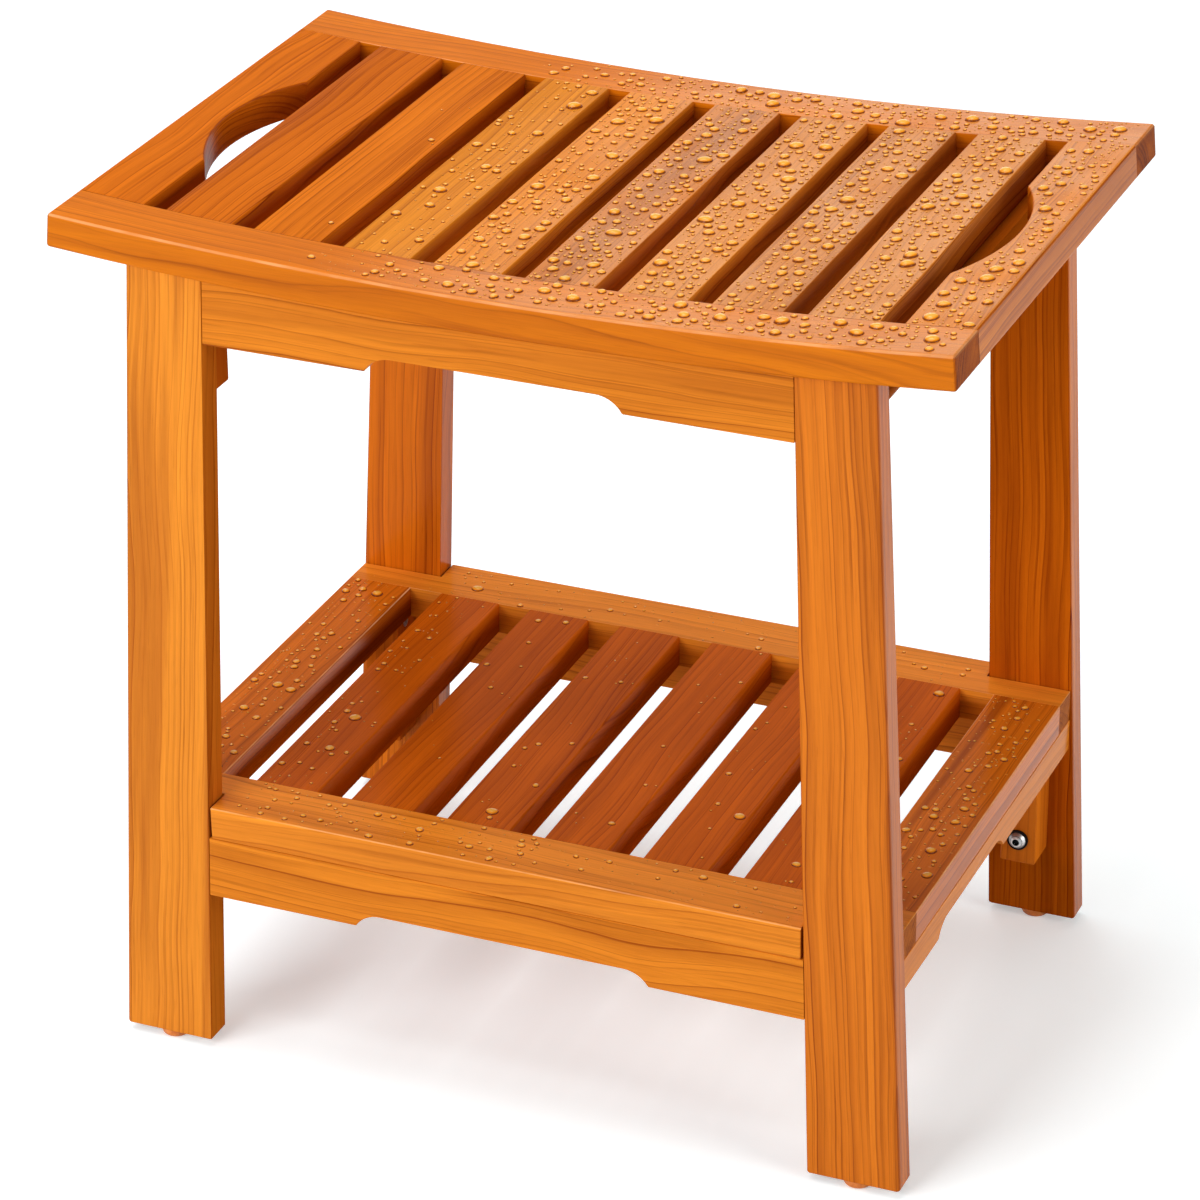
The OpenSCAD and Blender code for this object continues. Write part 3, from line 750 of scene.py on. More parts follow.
def edge_widths_group() -> Tree:
    """Builds the geometry nodes that give each edge of a board its share of the rounding.

    Outward corners get the full width on the outside of the bench, less inside it and least in a
    joint. Inward corners, flats and the short edges round the holes get none. Corners that aren't
    rounded are marked as sharp.

    Returns:
        The node group.
    """
    tree = bpy.data.node_groups.new("edge_widths", "GeometryNodeTree")
    for direction in ("INPUT", "OUTPUT"):
        tree.interface.new_socket("Geometry", in_out=direction, socket_type="NodeSocketGeometry")
    for title in PLAN_SOCKETS:
        tree.interface.new_socket(title, in_out="INPUT", socket_type=NUMBER)
    w = Wiring(tree)
    given = w.add("NodeGroupInput")
    out = w.add("NodeGroupOutput")
    mesh, joint_y, joint_share, outer_x, outer_y, fine_x = given.outputs[:6]
    place = w.vector("ABSOLUTE", w.add("GeometryNodeInputPosition").outputs[0])
    along, across, _ = w.split(place)
    outside = w.math(
        "MAXIMUM", w.math("GREATER_THAN", along, outer_x), w.math("GREATER_THAN", across, outer_y)
    )
    share = w.math("MULTIPLY_ADD", outside, 0.4, 0.6)
    joint = w.math("COMPARE", across, joint_y, 0.0004)
    less = w.math("SUBTRACT", share, joint_share)
    share = w.math("MULTIPLY_ADD", w.math("MULTIPLY", joint, -1.0), less, share)
    angle = w.add("GeometryNodeInputMeshEdgeAngle").outputs["Signed Angle"]
    share = w.math("MULTIPLY", share, w.math("GREATER_THAN", angle, CORNER_ANGLE))
    ends = w.add("GeometryNodeInputMeshEdgeVertices")
    length = w.vector("LENGTH", w.vector("SUBTRACT", ends.outputs[2], ends.outputs[3]))
    fine = w.math("GREATER_THAN", along, fine_x)
    shown = w.math("MAXIMUM", w.math("GREATER_THAN", length, SHORT_EDGE), fine)
    share = w.math("MULTIPLY", share, shown)
    corner = w.math("GREATER_THAN", w.math("ABSOLUTE", angle), CORNER_ANGLE)
    sharp = w.math("MULTIPLY", corner, w.math("LESS_THAN", share, 0.01))
    marks = ("bevel_weight_edge", "FLOAT", share), ("sharp_edge", "BOOLEAN", sharp)
    for name, kind, value in marks:
        store = w.add("GeometryNodeStoreNamedAttribute", data_type=kind, domain="EDGE")
        mesh = w.fill(store, {"Name": name, "Geometry": mesh, "Value": value}).outputs[0]
    w.feed(out.inputs[0], mesh)
    return tree


@dataclass(frozen=True)
class EdgePlan:
    """Where a board's joints and outer faces lie, in the order of the group's sockets."""

    joint_y: float = -1.0
    joint_share: float = 0.0
    outer_x: float = 9.0
    outer_y: float = 9.0
    fine_x: float = 9.0


def soften(
    piece: Piece, width: float, plan: EdgePlan, widths: Tree, segments: int = 3
) -> None:
    """Rounds the sharp edges of a CAD node, with modifiers alone.

    Args:
        piece: Object of the CAD node.
        width: Full width of the rounding.
        plan: Where the rounding is narrower.
        widths: Geometry nodes that give each edge its share of the width.
        segments: Segments across it.
    """
    weld = piece.modifiers.new("join_faces", "WELD")
    weld.merge_threshold = 2e-6
    flat = piece.modifiers.new("clean_flats", "DECIMATE")
    flat.decimate_type = "DISSOLVE"
    flat.angle_limit = math.radians(0.08)
    weigh = piece.modifiers.new("weigh_edges", "NODES")
    weigh.node_group = widths
    sockets = {item.name: item.identifier for item in widths.interface.items_tree}
    for title, value in zip(PLAN_SOCKETS, astuple(plan)):
        weigh[sockets[title]] = value
    bevel = piece.modifiers.new("round_edges", "BEVEL")
    bevel.width = width
    bevel.segments = segments
    bevel.limit_method = "WEIGHT"
    bevel.use_clamp_overlap = False
    smooth = piece.modifiers.new("even_normals", "WEIGHTED_NORMAL")
    smooth.keep_sharp = True
    smooth.weight = 80


def add_object(name: str, data: bpy.types.ID) -> Piece:
    """Makes an object of that data and links it to the scene."""
    piece = bpy.data.objects.new(name, data)
    bpy.context.scene.collection.objects.link(piece)
    return piece


def dress(piece: Piece, material: Material) -> None:
    """Gives a piece one material in place of what it has."""
    piece.data.materials.clear()
    piece.data.materials.append(material)


@dataclass
class BoardWork:
    """Dresses boards, each from its own place in a log."""

    shop: Workshop
    pieces: dict[str, Piece]
    widths: Tree = field(default_factory=edge_widths_group)
    seed: int = 11

    def cut_for(
        self, name: str, grain: Grain, heart_mm: tuple[float, float], lean: float = 0.0
    ) -> LogCut:
        """Chooses a board's place in its log.

        Args:
            name: CAD node of the board.
            grain: Direction of its grain.
            heart_mm: Rough offset to the log's heart, across and through.
            lean: Angle by which the board leans from its grain's axis.

        Returns:
            The place in the log.
        """
        low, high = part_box(name)
        luck = random.Random(f"{self.seed} {name}")
        heart = tuple(value * luck.uniform(0.8, 1.25) for value in heart_mm)
        tilt = (lean + luck.uniform(-0.02, 0.02), luck.uniform(-0.02, 0.02))
        return LogCut(grain, tuple((low + high) / 2), heart, luck.uniform(0, 9000), tilt)

    def dress(
        self,
        name: str,
        finish: TeakFinish,
        grain: Grain,
        heart_mm: tuple[float, float],
        edge: float,
        lean: float = 0.0,
        plan: EdgePlan = EdgePlan(),
        hollow: Hollow | None = None,
    ) -> None:
        """Rounds and dresses one board.

        Args:
            name: CAD node of the board.
            finish: Its colours and figure.
            grain: Direction of its grain.
            heart_mm: Rough offset to the log's heart, across and through.
            edge: Full width of its rounded edges.
            lean: Angle by which it leans from its grain's axis.
            plan: Where its edges are rounded less.
            hollow: Side with painted shade.
        """
        piece = self.pieces[name]
        soften(piece, edge, plan, self.widths)
        cut = self.cut_for(name, grain, heart_mm, lean)
        dress(piece, self.shop.teak(f"teak_{name}", finish, cut, hollow))
        LOG.info("dressed %s", name)


@dataclass
class Seat:
    """The dished seat: two long boards, two end boards and the slats between them."""

    work: BoardWork
    edge: float = 0.0018
    # Tones of the slats from left to right; the paler, bluer ones toward the right are partly
    # painted sheen.
    slat_tones: tuple[tuple[Colour, Colour, float], ...] = (
        (linear(202, 102, 14), linear(128, 44, 2), 0.35),
        (linear(212, 112, 18), linear(148, 60, 4), 0.25),
        (linear(212, 127, 32), linear(160, 75, 9), 0.1),
        (linear(222, 130, 32), linear(164, 74, 10), 0.15),
        (linear(202, 112, 34), linear(134, 58, 18), 0.5),
        (linear(212, 124, 36), linear(152, 72, 14), 0.2),
        (linear(206, 120, 40), linear(142, 62, 14), 0.25),
        (linear(210, 124, 44), linear(152, 72, 18), 0.15),
    )

    def build(self) -> None:
        """Dresses every board of the seat."""
        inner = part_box("seat_rear_rail")[0].y
        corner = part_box("seat_rear_rail")[1]
        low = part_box("seat_slat_4")[1]
        plan = EdgePlan(
            inner, 0.0, corner.x - OUTER_BAND, corner.y - OUTER_BAND, corner.x - OUTER_BAND
        )
        rail_plan = replace(plan, joint_share=0.3)
        dish = 0.5 / SEAT_RADIUS
        lowest = low.z - dish * low.x**2
        long_board = TeakFinish(
            linear(213, 114, 12), linear(154, 66, 5), ring_gap_mm=6.5, wave_mm=16, coat=0.14,
            painted_light=0.8, arris_highlight=0.36, bead_size_mm=2.4,
        )
        for face, sign in (("front", -1), ("rear", 1)):
            inward = Hollow((0.0, -sign, 0.0), False, lowest, dish)
            self.work.dress(
                f"seat_{face}_rail", long_board, Grain.LENGTH, (60 * sign, 34), self.edge,
                plan=rail_plan, hollow=inward,
            )
        end_board = TeakFinish(
            linear(214, 116, 18), linear(150, 62, 6), ring_gap_mm=7.5, ring_strength=1.3,
            wave_mm=15, coat=0.06, painted_light=0.8, bead_size_mm=2.4,
        )
        for side, across, sheen, pale in (
            ("left", -40, 0.3, linear(206, 105, 14)), ("right", 46, 0.4, linear(216, 120, 20))
        ):
            inward = Hollow((-1.0, 0.0, 0.0), False, lowest, dish) if side == "right" else None
            board = replace(end_board, pale=pale, side_coat=sheen)
            self.work.dress(
                f"seat_end_board_{side}", board, Grain.DEPTH, (across, 50), self.edge,
                plan=plan, hollow=inward,
            )
        sides = Hollow((1.0, 0.0, 0.0), True, lowest, dish)
        for number, (pale, deep, streaks) in enumerate(self.slat_tones, 1):
            finish = TeakFinish(
                pale, deep, linear(138, 62, 30), ring_gap_mm=6.5, ring_strength=1.2, wave_mm=11,
                streaks=streaks, coat=0.06, painted_light=0.4, bead_size_mm=2.4,
            )
            self.work.dress(
                f"seat_slat_{number}", finish, Grain.DEPTH, (-70 if number % 2 else 62, 26),
                self.edge, plan=plan, hollow=sides,
            )


@dataclass
class LegFrames:
    """Legs, aprons and rails."""

    work: BoardWork
    edge: float = 0.001
    leg_edge: float = 0.0018
    lean: float = math.radians(2.3)
    # Painted shade on the front left leg's inner faces, on the side aprons under the seat and on
    # the rear right leg's front face.
    inside_shade: Colour = (0.72, 0.6, 0.5)
    under_shade: Colour = (0.3, 0.2, 0.08)
    shadow_shade: Colour = (0.82, 0.68, 0.45)

    def build(self) -> None:
        """Dresses every board of the leg frames."""
        looks = {
            "front_left": (linear(230, 138, 40), linear(176, 84, 14), 0.95, 0.0),
            "front_right": (linear(214, 115, 27), linear(142, 58, 8), 1.25, 0.4),
            "rear_left": (linear(214, 110, 14), linear(148, 60, 6), 1.3, 0.3),
            "rear_right": (linear(212, 112, 20), linear(146, 60, 8), 1.25, 0.4),
        }
        inside, shadow = self.inside_shade, self.shadow_shade
        insides = {
            "front_left": Hollow((1.0, 0.0, 0.0), shade=inside, far_shade=inside),
            "rear_right": Hollow((0.0, -1.0, 0.0), shade=shadow, far_shade=shadow),
        }
        for face in FACES:
            for side, sign in SIDES:
                name = f"leg_{face}_{side}"
                pale, deep, figure, sheen = looks[f"{face}_{side}"]
                leg = TeakFinish(
                    pale, deep, ring_gap_mm=7.0, ring_strength=figure, wave_mm=13, streaks=0.4,
                    coat=0.15, side_coat=sheen, painted_light=0.7,
                )
                low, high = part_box(name)
                plan = EdgePlan(outer_x=abs(low.x + high.x) / 2)
                self.work.dress(
                    name, leg, Grain.HEIGHT, (36, sign * 70), self.leg_edge, sign * self.lean,
                    plan=plan, hollow=insides.get(f"{face}_{side}"),
                )
            board = TeakFinish(
                linear(220, 126, 32), linear(160, 74, 12), ring_gap_mm=6.5, ring_strength=1.1,
                wave_mm=17, coat=0.1, side_coat=0.35,
            )
            self.work.dress(f"{face}_apron", board, Grain.LENGTH, (40, 52), self.edge)
            self.work.dress(f"{face}_rail", board, Grain.LENGTH, (-44, 60), self.edge)
        board = replace(board, wave_mm=9, ring_strength=0.7)
        for side, sign in SIDES:
            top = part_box(f"side_apron_{side}")[1].z
            under = Hollow(
                (sign, 0.0, 0.8), True, top, start=0.032, depth=0.012, shade=self.under_shade
            )
            for part, shaded in (("apron", under), ("rail", None)):
                self.work.dress(
                    f"side_{part}_{side}", board, Grain.DEPTH, (60, 30), self.edge, hollow=shaded
                )
        block = TeakFinish(
            linear(222, 118, 24), linear(164, 72, 10), ring_gap_mm=7.0, wave_mm=10, coat=0.12,
        )
        # The left blocks get a darker tone and no coat, as painted shade.
        blocks = {
            "left": replace(block, pale=linear(184, 88, 18), deep=linear(134, 54, 8), coat=0.0),
            "right": replace(block, side_coat=0.35),
        }
        for height in ("upper", "lower"):
            for face in FACES:
                for side, finish in blocks.items():
                    name = f"{height}_block_{face}_{side}"
                    self.work.dress(name, finish, Grain.HEIGHT, (34, 40), self.leg_edge)


@dataclass
class Shelf:
    """The slatted shelf between the leg frames."""

    work: BoardWork
    slats: int = 6
    edge: float = 0.0009

    def build(self) -> None:
        """Dresses every board of the shelf."""
        outer = TeakFinish(
            linear(236, 140, 40), linear(176, 82, 14), ring_gap_mm=6.5, wave_mm=15, coat=0.12,
            painted_light=0.5, arris_highlight=0.36, bead_size_mm=3.2, wet_from_x=-0.6, wet_to_x=2.4, wet_film_and_sheen=0.3,
        )
        end_board = replace(
            outer, pale=linear(210, 108, 18), deep=linear(138, 54, 6), streak=linear(136, 56, 8),
            streaks=0.7, ring_strength=1.0, coat=0.1, side_coat=0.5, painted_light=0.3, arris_highlight=0.6,
            # A tone above 1 makes the rounded ends and slot sides a painted highlight.
            edge_tone=(1.3, 1.5, 1.9),
        )
        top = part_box("shelf_front_board")[1].z
        inner_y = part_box("shelf_rear_board")[0].y
        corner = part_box("shelf_rear_board")[1]
        plan = EdgePlan(
            inner_y, 0.0, corner.x - OUTER_BAND, corner.y - OUTER_BAND, corner.x - OUTER_BAND
        )
        for face, sign in (("front", -1), ("rear", 1)):
            inward = Hollow((0.0, -sign, 0.0), False, top)
            self.work.dress(
                f"shelf_{face}_board", outer, Grain.LENGTH, (50 * sign, 40), self.edge,
                plan=replace(plan, joint_share=0.35), hollow=inward,
            )
        for side, sign in SIDES:
            inward = Hollow((-sign, 0.0, 0.0), False, top)
            self.work.dress(
                f"shelf_end_board_{side}", end_board, Grain.DEPTH, (52, 34), self.edge,
                plan=plan, hollow=inward,
            )
        # The slats under the seat are darker than the outer boards, partly as painted shade.
        inner = TeakFinish(
            linear(200, 94, 12), linear(136, 48, 4), ring_gap_mm=6.5, wave_mm=14, coat=0.08
        )
        sides = Hollow((1.0, 0.0, 0.0), True, top)
        for number in range(1, self.slats + 1):
            self.work.dress(
                f"shelf_slat_{number}", inner, Grain.DEPTH, (-60, 26), self.edge,
                plan=plan, hollow=sides,
            )


@dataclass
class Hardware:
    """Bolts, washers, inserts, screws and feet."""

    shop: Workshop
    pieces: dict[str, Piece]

    def build(self) -> None:
        """Dresses the hardware."""
        steel = MetalFinish("bright_steel", linear(214, 212, 210), linear(168, 168, 170), 0.3)
        zinc = self.shop.metal(
            MetalFinish("zinc_steel", linear(196, 198, 204), linear(150, 152, 160), 0.3)
        )
        brass = self.shop.metal(
            MetalFinish("brass", linear(214, 178, 96), linear(160, 124, 60), 0.25)
        )
        rubber = self.shop.moulded(
            MouldedFinish("black_washer", linear(16, 15, 16), linear(9, 8, 9), 0.6, 0.12)
        )
        amber = self.shop.moulded(
            MouldedFinish("amber_pad", linear(226, 132, 48), linear(196, 98, 24), 0.3)
        )
        for name in ("upper_bolts", "lower_bolts"):
            low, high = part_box(name)
            head_r = (high.z - low.z) / 2
            axis = (high.x - head_r, 0.0, (high.z + low.z) / 2)
            turned = replace(steel, name=f"steel_of_{name}", socket_at=axis)
            dress(self.pieces[name], self.shop.metal(turned))
        for name in ("seat_screws", "shelf_screws", "block_screws"):
            dress(self.pieces[name], zinc)
        dress(self.pieces["threaded_inserts"], brass)
        dress(self.pieces["bolt_washers"], rubber)
        for face in FACES:
            for side, _ in SIDES:
                dress(self.pieces[f"foot_pad_{face}_{side}"], amber)
                dress(self.pieces[f"foot_stud_{face}_{side}"], zinc)
        LOG.info("dressed the hardware and the feet")


@dataclass(frozen=True)
class BeadSize:
    """A class of bead: how many, and from what to what radius."""

    tries: int
    least: float
    most: float
    turns: int
    rings: int


@dataclass(frozen=True)
class WetPatch:
    """A flat stretch of a board that beads may lie on, with how wet it is there."""

    low: tuple[float, float]
    high: tuple[float, float]
    wet: Callable[[float, float], float]
    keep_off: tuple[tuple[float, float, float], ...] = ()


@dataclass
class WaterBeads:
    """Beads of water that lie on some upper faces, as one mesh."""

    name: str
    patches: Sequence[WetPatch]
    height_at: Callable[[float, float], float]
    sizes: Sequence[BeadSize]
    seed: int
    skew: float = 1.6
    cap_angle: float = math.radians(78)
    dip: float = 0.00025
    spread: float = 1.2
    cell: float = 0.012
    placed: list[tuple[float, float, float]] = field(default_factory=list)
    grid: dict[tuple[int, int], list[int]] = field(default_factory=dict)

    def free(self, x: float, y: float, radius: float) -> bool:
        """True if a bead of that radius touches no other one."""
        column, row = int(x // self.cell), int(y // self.cell)
        for i in range(column - 1, column + 2):
            for j in range(row - 1, row + 2):
                for index in self.grid.get((i, j), ()):
                    other_x, other_y, other = self.placed[index]
                    if math.hypot(x - other_x, y - other_y) < self.spread * (radius + other):
                        return False
        return True

    def scatter(self) -> list[tuple[BeadSize, float, float, float]]:
        """Throws beads at the patches, the large ones first.

        Returns:
            Size class, place and radius of each bead that found room.
        """
        luck = random.Random(self.seed)
        found = []
        areas = [(p.high[0] - p.low[0]) * (p.high[1] - p.low[1]) for p in self.patches]
        for size in self.sizes:
            for _ in range(size.tries):
                patch = luck.choices(self.patches, areas)[0]
                radius = size.least + (size.most - size.least) * luck.random() ** self.skew
                x = luck.uniform(patch.low[0], patch.high[0])
                y = luck.uniform(patch.low[1], patch.high[1])
                chance = luck.random()
                inside = (
                    patch.low[0] + radius < x < patch.high[0] - radius
                    and patch.low[1] + radius < y < patch.high[1] - radius
                    and all(math.hypot(x - u, y - v) > r + radius for u, v, r in patch.keep_off)
                )
                if not inside or chance > patch.wet(x, y) or not self.free(x, y, radius):
                    continue
                cell = (int(x // self.cell), int(y // self.cell))
                self.grid.setdefault(cell, []).append(len(self.placed))
                self.placed.append((x, y, radius))
                found.append((size, x, y, radius))
        return found

    def build(self, material: Material) -> Piece:
        """Makes the mesh of all beads.

        Args:
            material: The water.

        Returns:
            The piece.
        """
        luck = random.Random(self.seed + 1)
        points: list[Point] = []
        faces: list[tuple[int, ...]] = []
        beads = self.scatter()
        for size, x, y, radius in beads:
            self.add_bead(points, faces, size, x, y, radius, luck)
        mesh = bpy.data.meshes.new(self.name)
        mesh.from_pydata(points, [], faces)
        mesh.shade_smooth()
        piece = add_object(self.name, mesh)
        dress(piece, material)
        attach(piece, BENCH)
        LOG.info("%s: %d beads, %d faces", self.name, len(beads), len(faces))
        return piece

    def add_bead(
        self,
        points: list[Point],
        faces: list[tuple[int, ...]],
        size: BeadSize,
        x: float,
        y: float,
        radius: float,
        luck: random.Random,
    ) -> None:
        """Adds one closed bead, round on top and dipped into the board below.

        Args:
            points: Points so far.
            faces: Faces so far.
            size: Its size class.
            x: Its place along the bench.
            y: Its place from front to back.
            radius: Its radius.
            luck: Source of its uneven outline.
        """
        swell = luck.uniform(0, 0.09), luck.uniform(0, 0.05)
        phase = luck.uniform(0, math.tau), luck.uniform(0, math.tau)
        lift = radius * luck.uniform(0.46, 0.58) * (1.0 - 25 * radius)
        start = len(points)
        turns, rings = size.turns, size.rings
        ground = self.height_at(x, y)
        points.append((x, y, ground + lift))
        for ring in range(1, rings + 1):
            angle = ring / rings * self.cap_angle
            out = math.sin(angle) / math.sin(self.cap_angle)
            up = (math.cos(angle) - math.cos(self.cap_angle)) / (1 - math.cos(self.cap_angle))
            sunk = self.dip / 4 if ring == rings else 0
            for turn in range(turns):
                a = math.tau * turn / turns
                wobble = 1 + swell[0] * math.cos(2 * a + phase[0])
                wobble += swell[1] * math.cos(3 * a + phase[1])
                u = x + out * radius * wobble * math.cos(a)
                v = y + out * radius * wobble * math.sin(a)
                points.append((u, v, self.height_at(u, v) + up * lift - sunk))
        for turn in range(turns):
            u, v, _ = points[start + 1 + (rings - 1) * turns + turn]
            points.append((x + (u - x) * 0.9, y + (v - y) * 0.9, self.height_at(u, v) - self.dip))
        points.append((x, y, ground - self.dip))
        last = len(points) - 1
        for turn in range(turns):
            following = (turn + 1) % turns
            faces.append((start, start + 1 + turn, start + 1 + following))
            for ring in range(rings):
                near, far = start + 1 + ring * turns, start + 1 + (ring + 1) * turns
                faces.append((near + turn, far + turn, far + following, near + following))
            edge = start + 1 + rings * turns
            faces.append((edge + turn, last, edge + following))


@dataclass
class Water:
    """All the water on the bench."""

    shop: Workshop
    seat_axis_z: float = 3.5862
    scoop_radius: float = 0.137
    scoop_depth: float = 0.0175
    margin: float = 0.0015

    def seat_height(self, x: float, y: float) -> float:
        """Height of the seat's upper face at the distance x from the middle."""
        return self.seat_axis_z - math.sqrt(SEAT_RADIUS**2 - x * x)

    @staticmethod
    def seat_wet(x: float, y: float) -> float:
        """How wet the seat is at a place, from 0 to 1."""
        ramp = min(1.0, max(0.0, (x + 0.14) / 0.19))
        return ramp * ramp * (3 - 2 * ramp)

    @staticmethod
    def shelf_wet(x: float, y: float) -> float:
        """How wet the shelf is at a place, from 0 to 1."""
        at_left = max(0.0, 1 - (x + 0.233) / 0.12)
        at_right = 1.3 * max(0.0, 1 - (0.233 - x) / 0.09)
        at_front = 0.55 if y < -0.13 and x < 0.02 else 0.2
        return min(1.0, max(at_left, at_right, at_front if abs(y) > 0.13 else 0.06))

    def build(self) -> None:
        """Builds the beads on the seat and on the shelf."""
        material = self.shop.water()
        sizes = (
            BeadSize(420, 0.0034, 0.0050, 20, 5),
            BeadSize(1900, 0.0021, 0.0034, 14, 4),
            BeadSize(4600, 0.0011, 0.0021, 9, 3),
            BeadSize(6400, 0.0004, 0.0011, 6, 2),
        )
        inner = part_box("seat_rear_rail")[0].y
        half, outer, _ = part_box("seat_rear_rail")[1]
        patches = []
        for low, high in ((-outer + 0.003, -inner), (inner, outer - 0.003)):
            patches.append(WetPatch((-half + 0.004, low), (half - 0.008, high), self.seat_wet))
        for number in range(1, 9):
            low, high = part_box(f"seat_slat_{number}")
            patches.append(WetPatch(
                (low.x + self.margin, -inner), (high.x - self.margin, inner), self.seat_wet
            ))
        for side, sign in SIDES:
            low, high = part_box(f"seat_end_board_{side}")
            edge = (high.x if side == "left" else low.x) * sign
            middle = sign * (edge + self.scoop_depth - self.scoop_radius)
            scoop = (middle, 0.0, self.scoop_radius + 0.002)
            patches.append(WetPatch(
                (low.x + 0.003, -inner), (high.x - 0.004, inner), self.seat_wet, (scoop,)
            ))
        WaterBeads("water_beads_seat", patches, self.seat_height, sizes, 7).build(material)

        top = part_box("shelf_end_board_left")[1].z
        end_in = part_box("shelf_end_board_right")[0].x
        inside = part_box("shelf_rear_board")[0].y
        end_out, back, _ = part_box("shelf_rear_board")[1]
        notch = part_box("leg_rear_right")[0].x
        patches = [
            WetPatch((-notch, -back + 0.002), (notch, -inside), self.shelf_wet),
            WetPatch((-notch, inside), (notch, back - 0.002), self.shelf_wet),
            WetPatch((end_in + 0.002, -inside), (end_out - 0.003, inside), self.shelf_wet),
            WetPatch((-end_out + 0.003, -inside), (-end_in - 0.002, inside), self.shelf_wet),
        ]
        for number in range(1, 7):
            low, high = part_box(f"shelf_slat_{number}")
            patches.append(WetPatch(
                (low.x + 0.002, -inside), (high.x - 0.002, inside), self.shelf_wet
            ))
        sizes = (
            BeadSize(110, 0.0026, 0.0040, 20, 5),
            BeadSize(520, 0.0018, 0.0026, 16, 4),
            BeadSize(1200, 0.0009, 0.0018, 10, 3),
            BeadSize(1200, 0.0005, 0.0009, 7, 2),
        )
        WaterBeads("water_beads_shelf", patches, lambda x, y: top, sizes, 19).build(material)


@dataclass(frozen=True)
class Panel:
    """A soft light panel."""

    name: str
    place: Point
    aim: Point
    size: tuple[float, float]
    power: float
    colour: Colour = (1.0, 1.0, 1.0)


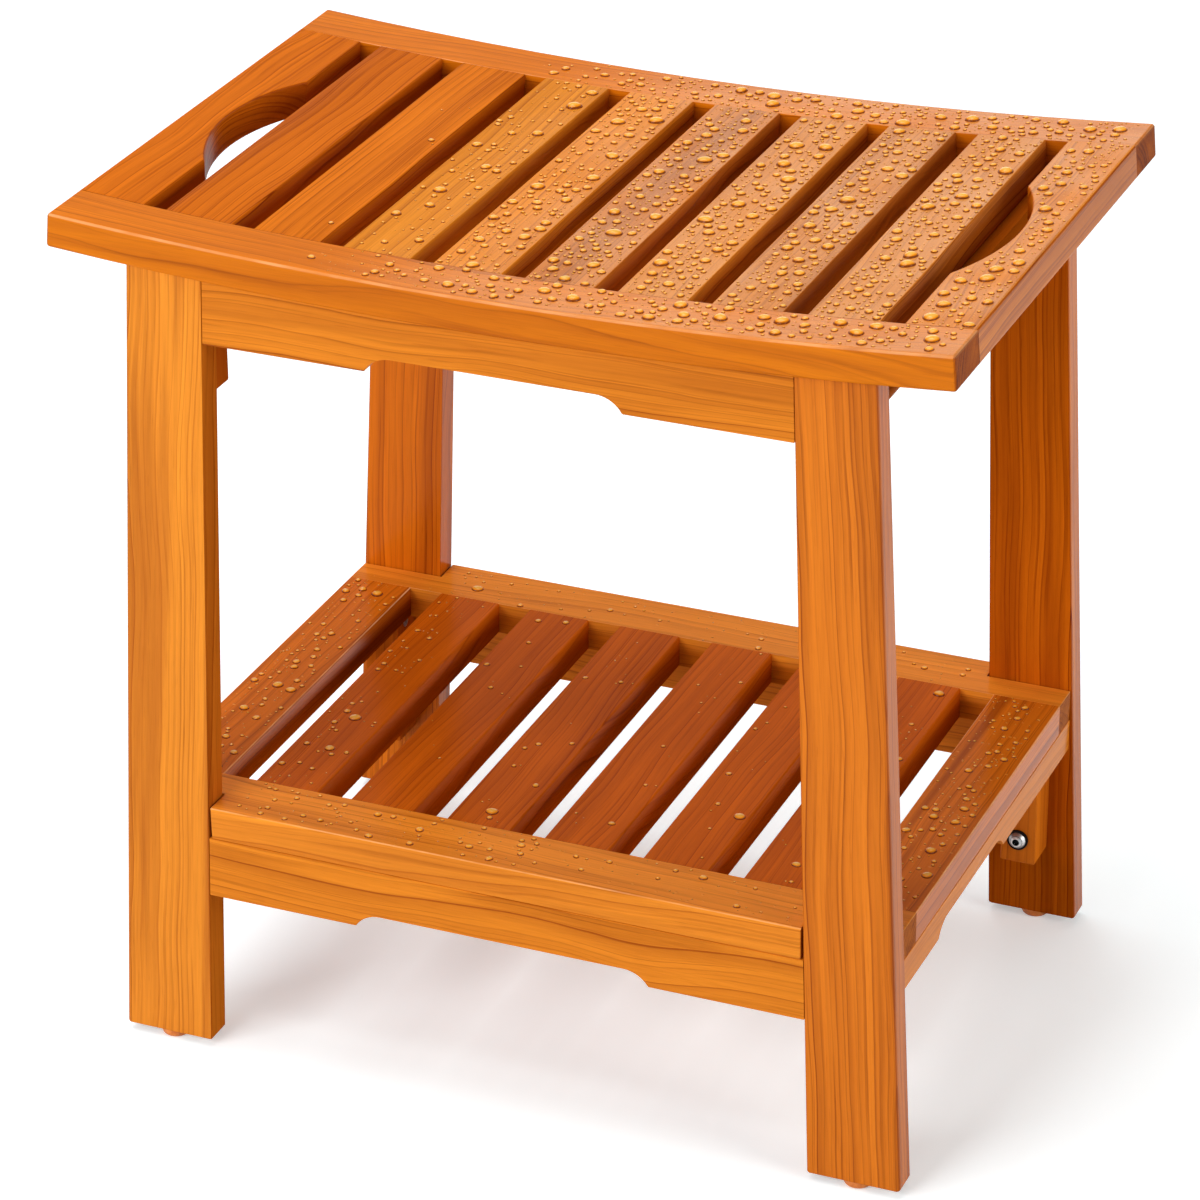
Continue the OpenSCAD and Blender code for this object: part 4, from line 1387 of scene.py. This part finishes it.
@dataclass
class Studio:
    """Floor, soft light and camera."""

    panels: tuple[Panel, ...] = (
        Panel("key_panel", (-1.35, -2.75, 1.6), (0.0, 0.0, 0.25), (2.2, 1.6), 74),
        Panel("top_panel", (-0.5, 0.25, 2.85), (0.0, 0.0, 0.4), (2.0, 2.0), 47),
        Panel("right_panel", (3.0, -0.6, 1.3), (0.0, 0.0, 0.3), (1.6, 1.6), 40, (1.0, 0.97, 0.9)),
        Panel("back_panel", (-0.9, 2.1, 1.3), (0.1, 0.0, 0.5), (1.5, 0.7), 5),
        Panel("bead_lamp", (-0.2, -1.2, 2.4), (0.1, 0.0, 0.5), (0.35, 0.35), 5),
    )
    sky: float = 0.22
    floor_glow: float = 0.36
    reach: float = 9.0
    backdrop_height: float = 2.5
    lens_mm: float = 143.0
    camera_place: Point = (0.9426, -2.2904, 1.4907)
    camera_turn: Point = (22.56, 90 - 26.61, -0.25)

    def build(self) -> None:
        """Builds the studio."""
        self.floor()
        self.world()
        for panel in self.panels:
            self.light(panel)
        self.camera()
        bpy.context.scene.view_settings.view_transform = "Standard"
        LOG.info("built the studio")

    def light(self, panel: Panel) -> None:
        """Adds one light panel."""
        data = bpy.data.lights.new(panel.name, "AREA")
        data.shape = "RECTANGLE"
        data.size, data.size_y = panel.size
        data.energy = panel.power
        data.color = panel.colour
        lamp = add_object(panel.name, data)
        lamp.location = panel.place
        toward = Vector(panel.aim) - Vector(panel.place)
        lamp.rotation_euler = toward.to_track_quat("-Z", "Y").to_euler()

    def floor(self) -> None:
        """Adds the round pale floor and the low backdrop round it, white outside the shadow."""
        turns = 64
        angles = [math.tau * i / turns for i in range(turns)]
        ring = [(self.reach * math.cos(a), self.reach * math.sin(a)) for a in angles]
        low = [(x, y, 0.0) for x, y in ring]
        high = [(x, y, self.backdrop_height) for x, y in ring]
        sides = [(i, (i + 1) % turns, (i + 1) % turns + turns, i + turns) for i in range(turns)]
        material = self.floor_paint()
        for name, points, faces in (
            ("floor", low, [tuple(range(turns))]), ("backdrop", low + high, sides)
        ):
            mesh = bpy.data.meshes.new(name)
            mesh.from_pydata(points, [], faces)
            piece = add_object(name, mesh)
            dress(piece, material)

    def floor_paint(self) -> Material:
        """Makes the pale paint of the floor, which is seen brighter toward the backdrop.

        Returns:
            The material.
        """
        material, w, shader, surface = new_material("pale_floor")
        rays = w.add("ShaderNodeLightPath")
        seen = w.math("MAXIMUM", rays.outputs["Is Camera Ray"], rays.outputs["Is Glossy Ray"])
        seen = w.math("MAXIMUM", seen, rays.outputs["Is Transmission Ray"])
        w.fill(shader, {
            "Base Color": (0.85, 0.93, 0.96), "Roughness": 0.9, "Specular IOR Level": 0.1
        })
        place = w.add("ShaderNodeTexCoord").outputs["Object"]
        away = w.step(w.vector("LENGTH", place), 1.5, 5.0)
        level = w.math("MULTIPLY_ADD", away, 1.0 - self.floor_glow, self.floor_glow)
        glow = w.add("ShaderNodeEmission")
        w.feed(glow.inputs["Strength"], w.math("MULTIPLY", seen, level))
        total = w.add("ShaderNodeAddShader")
        w.feed(total.inputs[0], shader.outputs[0])
        w.feed(total.inputs[1], glow.outputs[0])
        w.feed(surface, total.outputs[0])
        return material

    def world(self) -> None:
        """Adds a plain pale sky."""
        world = bpy.data.worlds.new("studio")
        world.use_nodes = True
        world.node_tree.nodes.clear()
        w = Wiring(world.node_tree)
        sky = w.add("ShaderNodeBackground")
        sky.inputs["Strength"].default_value = self.sky
        output = w.add("ShaderNodeOutputWorld")
        w.feed(output.inputs["Surface"], sky.outputs[0])
        bpy.context.scene.world = world

    def camera(self) -> None:
        """Adds the camera at the photograph's place, turn and lens."""
        data = bpy.data.cameras.new("camera")
        data.lens = self.lens_mm
        data.sensor_width = 36.0
        camera = add_object("camera", data)
        bearing, pitch, roll = (math.radians(angle) for angle in self.camera_turn)
        turn = (
            Matrix.Rotation(bearing, 4, "Z")
            @ Matrix.Rotation(pitch, 4, "X")
            @ Matrix.Rotation(roll, 4, "Z")
        )
        camera.matrix_world = Matrix.Translation(self.camera_place) @ turn
        bpy.context.scene.camera = camera


def main() -> None:
    """Dresses the bench, lays the water on it and builds the studio."""
    logging.basicConfig(level=logging.INFO, format="%(name)s: %(message)s")
    pieces: dict[str, Piece] = frame["nodes"]
    shop = Workshop()
    work = BoardWork(shop, pieces)
    Seat(work).build()
    LegFrames(work).build()
    Shelf(work).build()
    Hardware(shop, pieces).build()
    Water(shop).build()
    Studio().build()


if __name__ == "__main__":
    main()
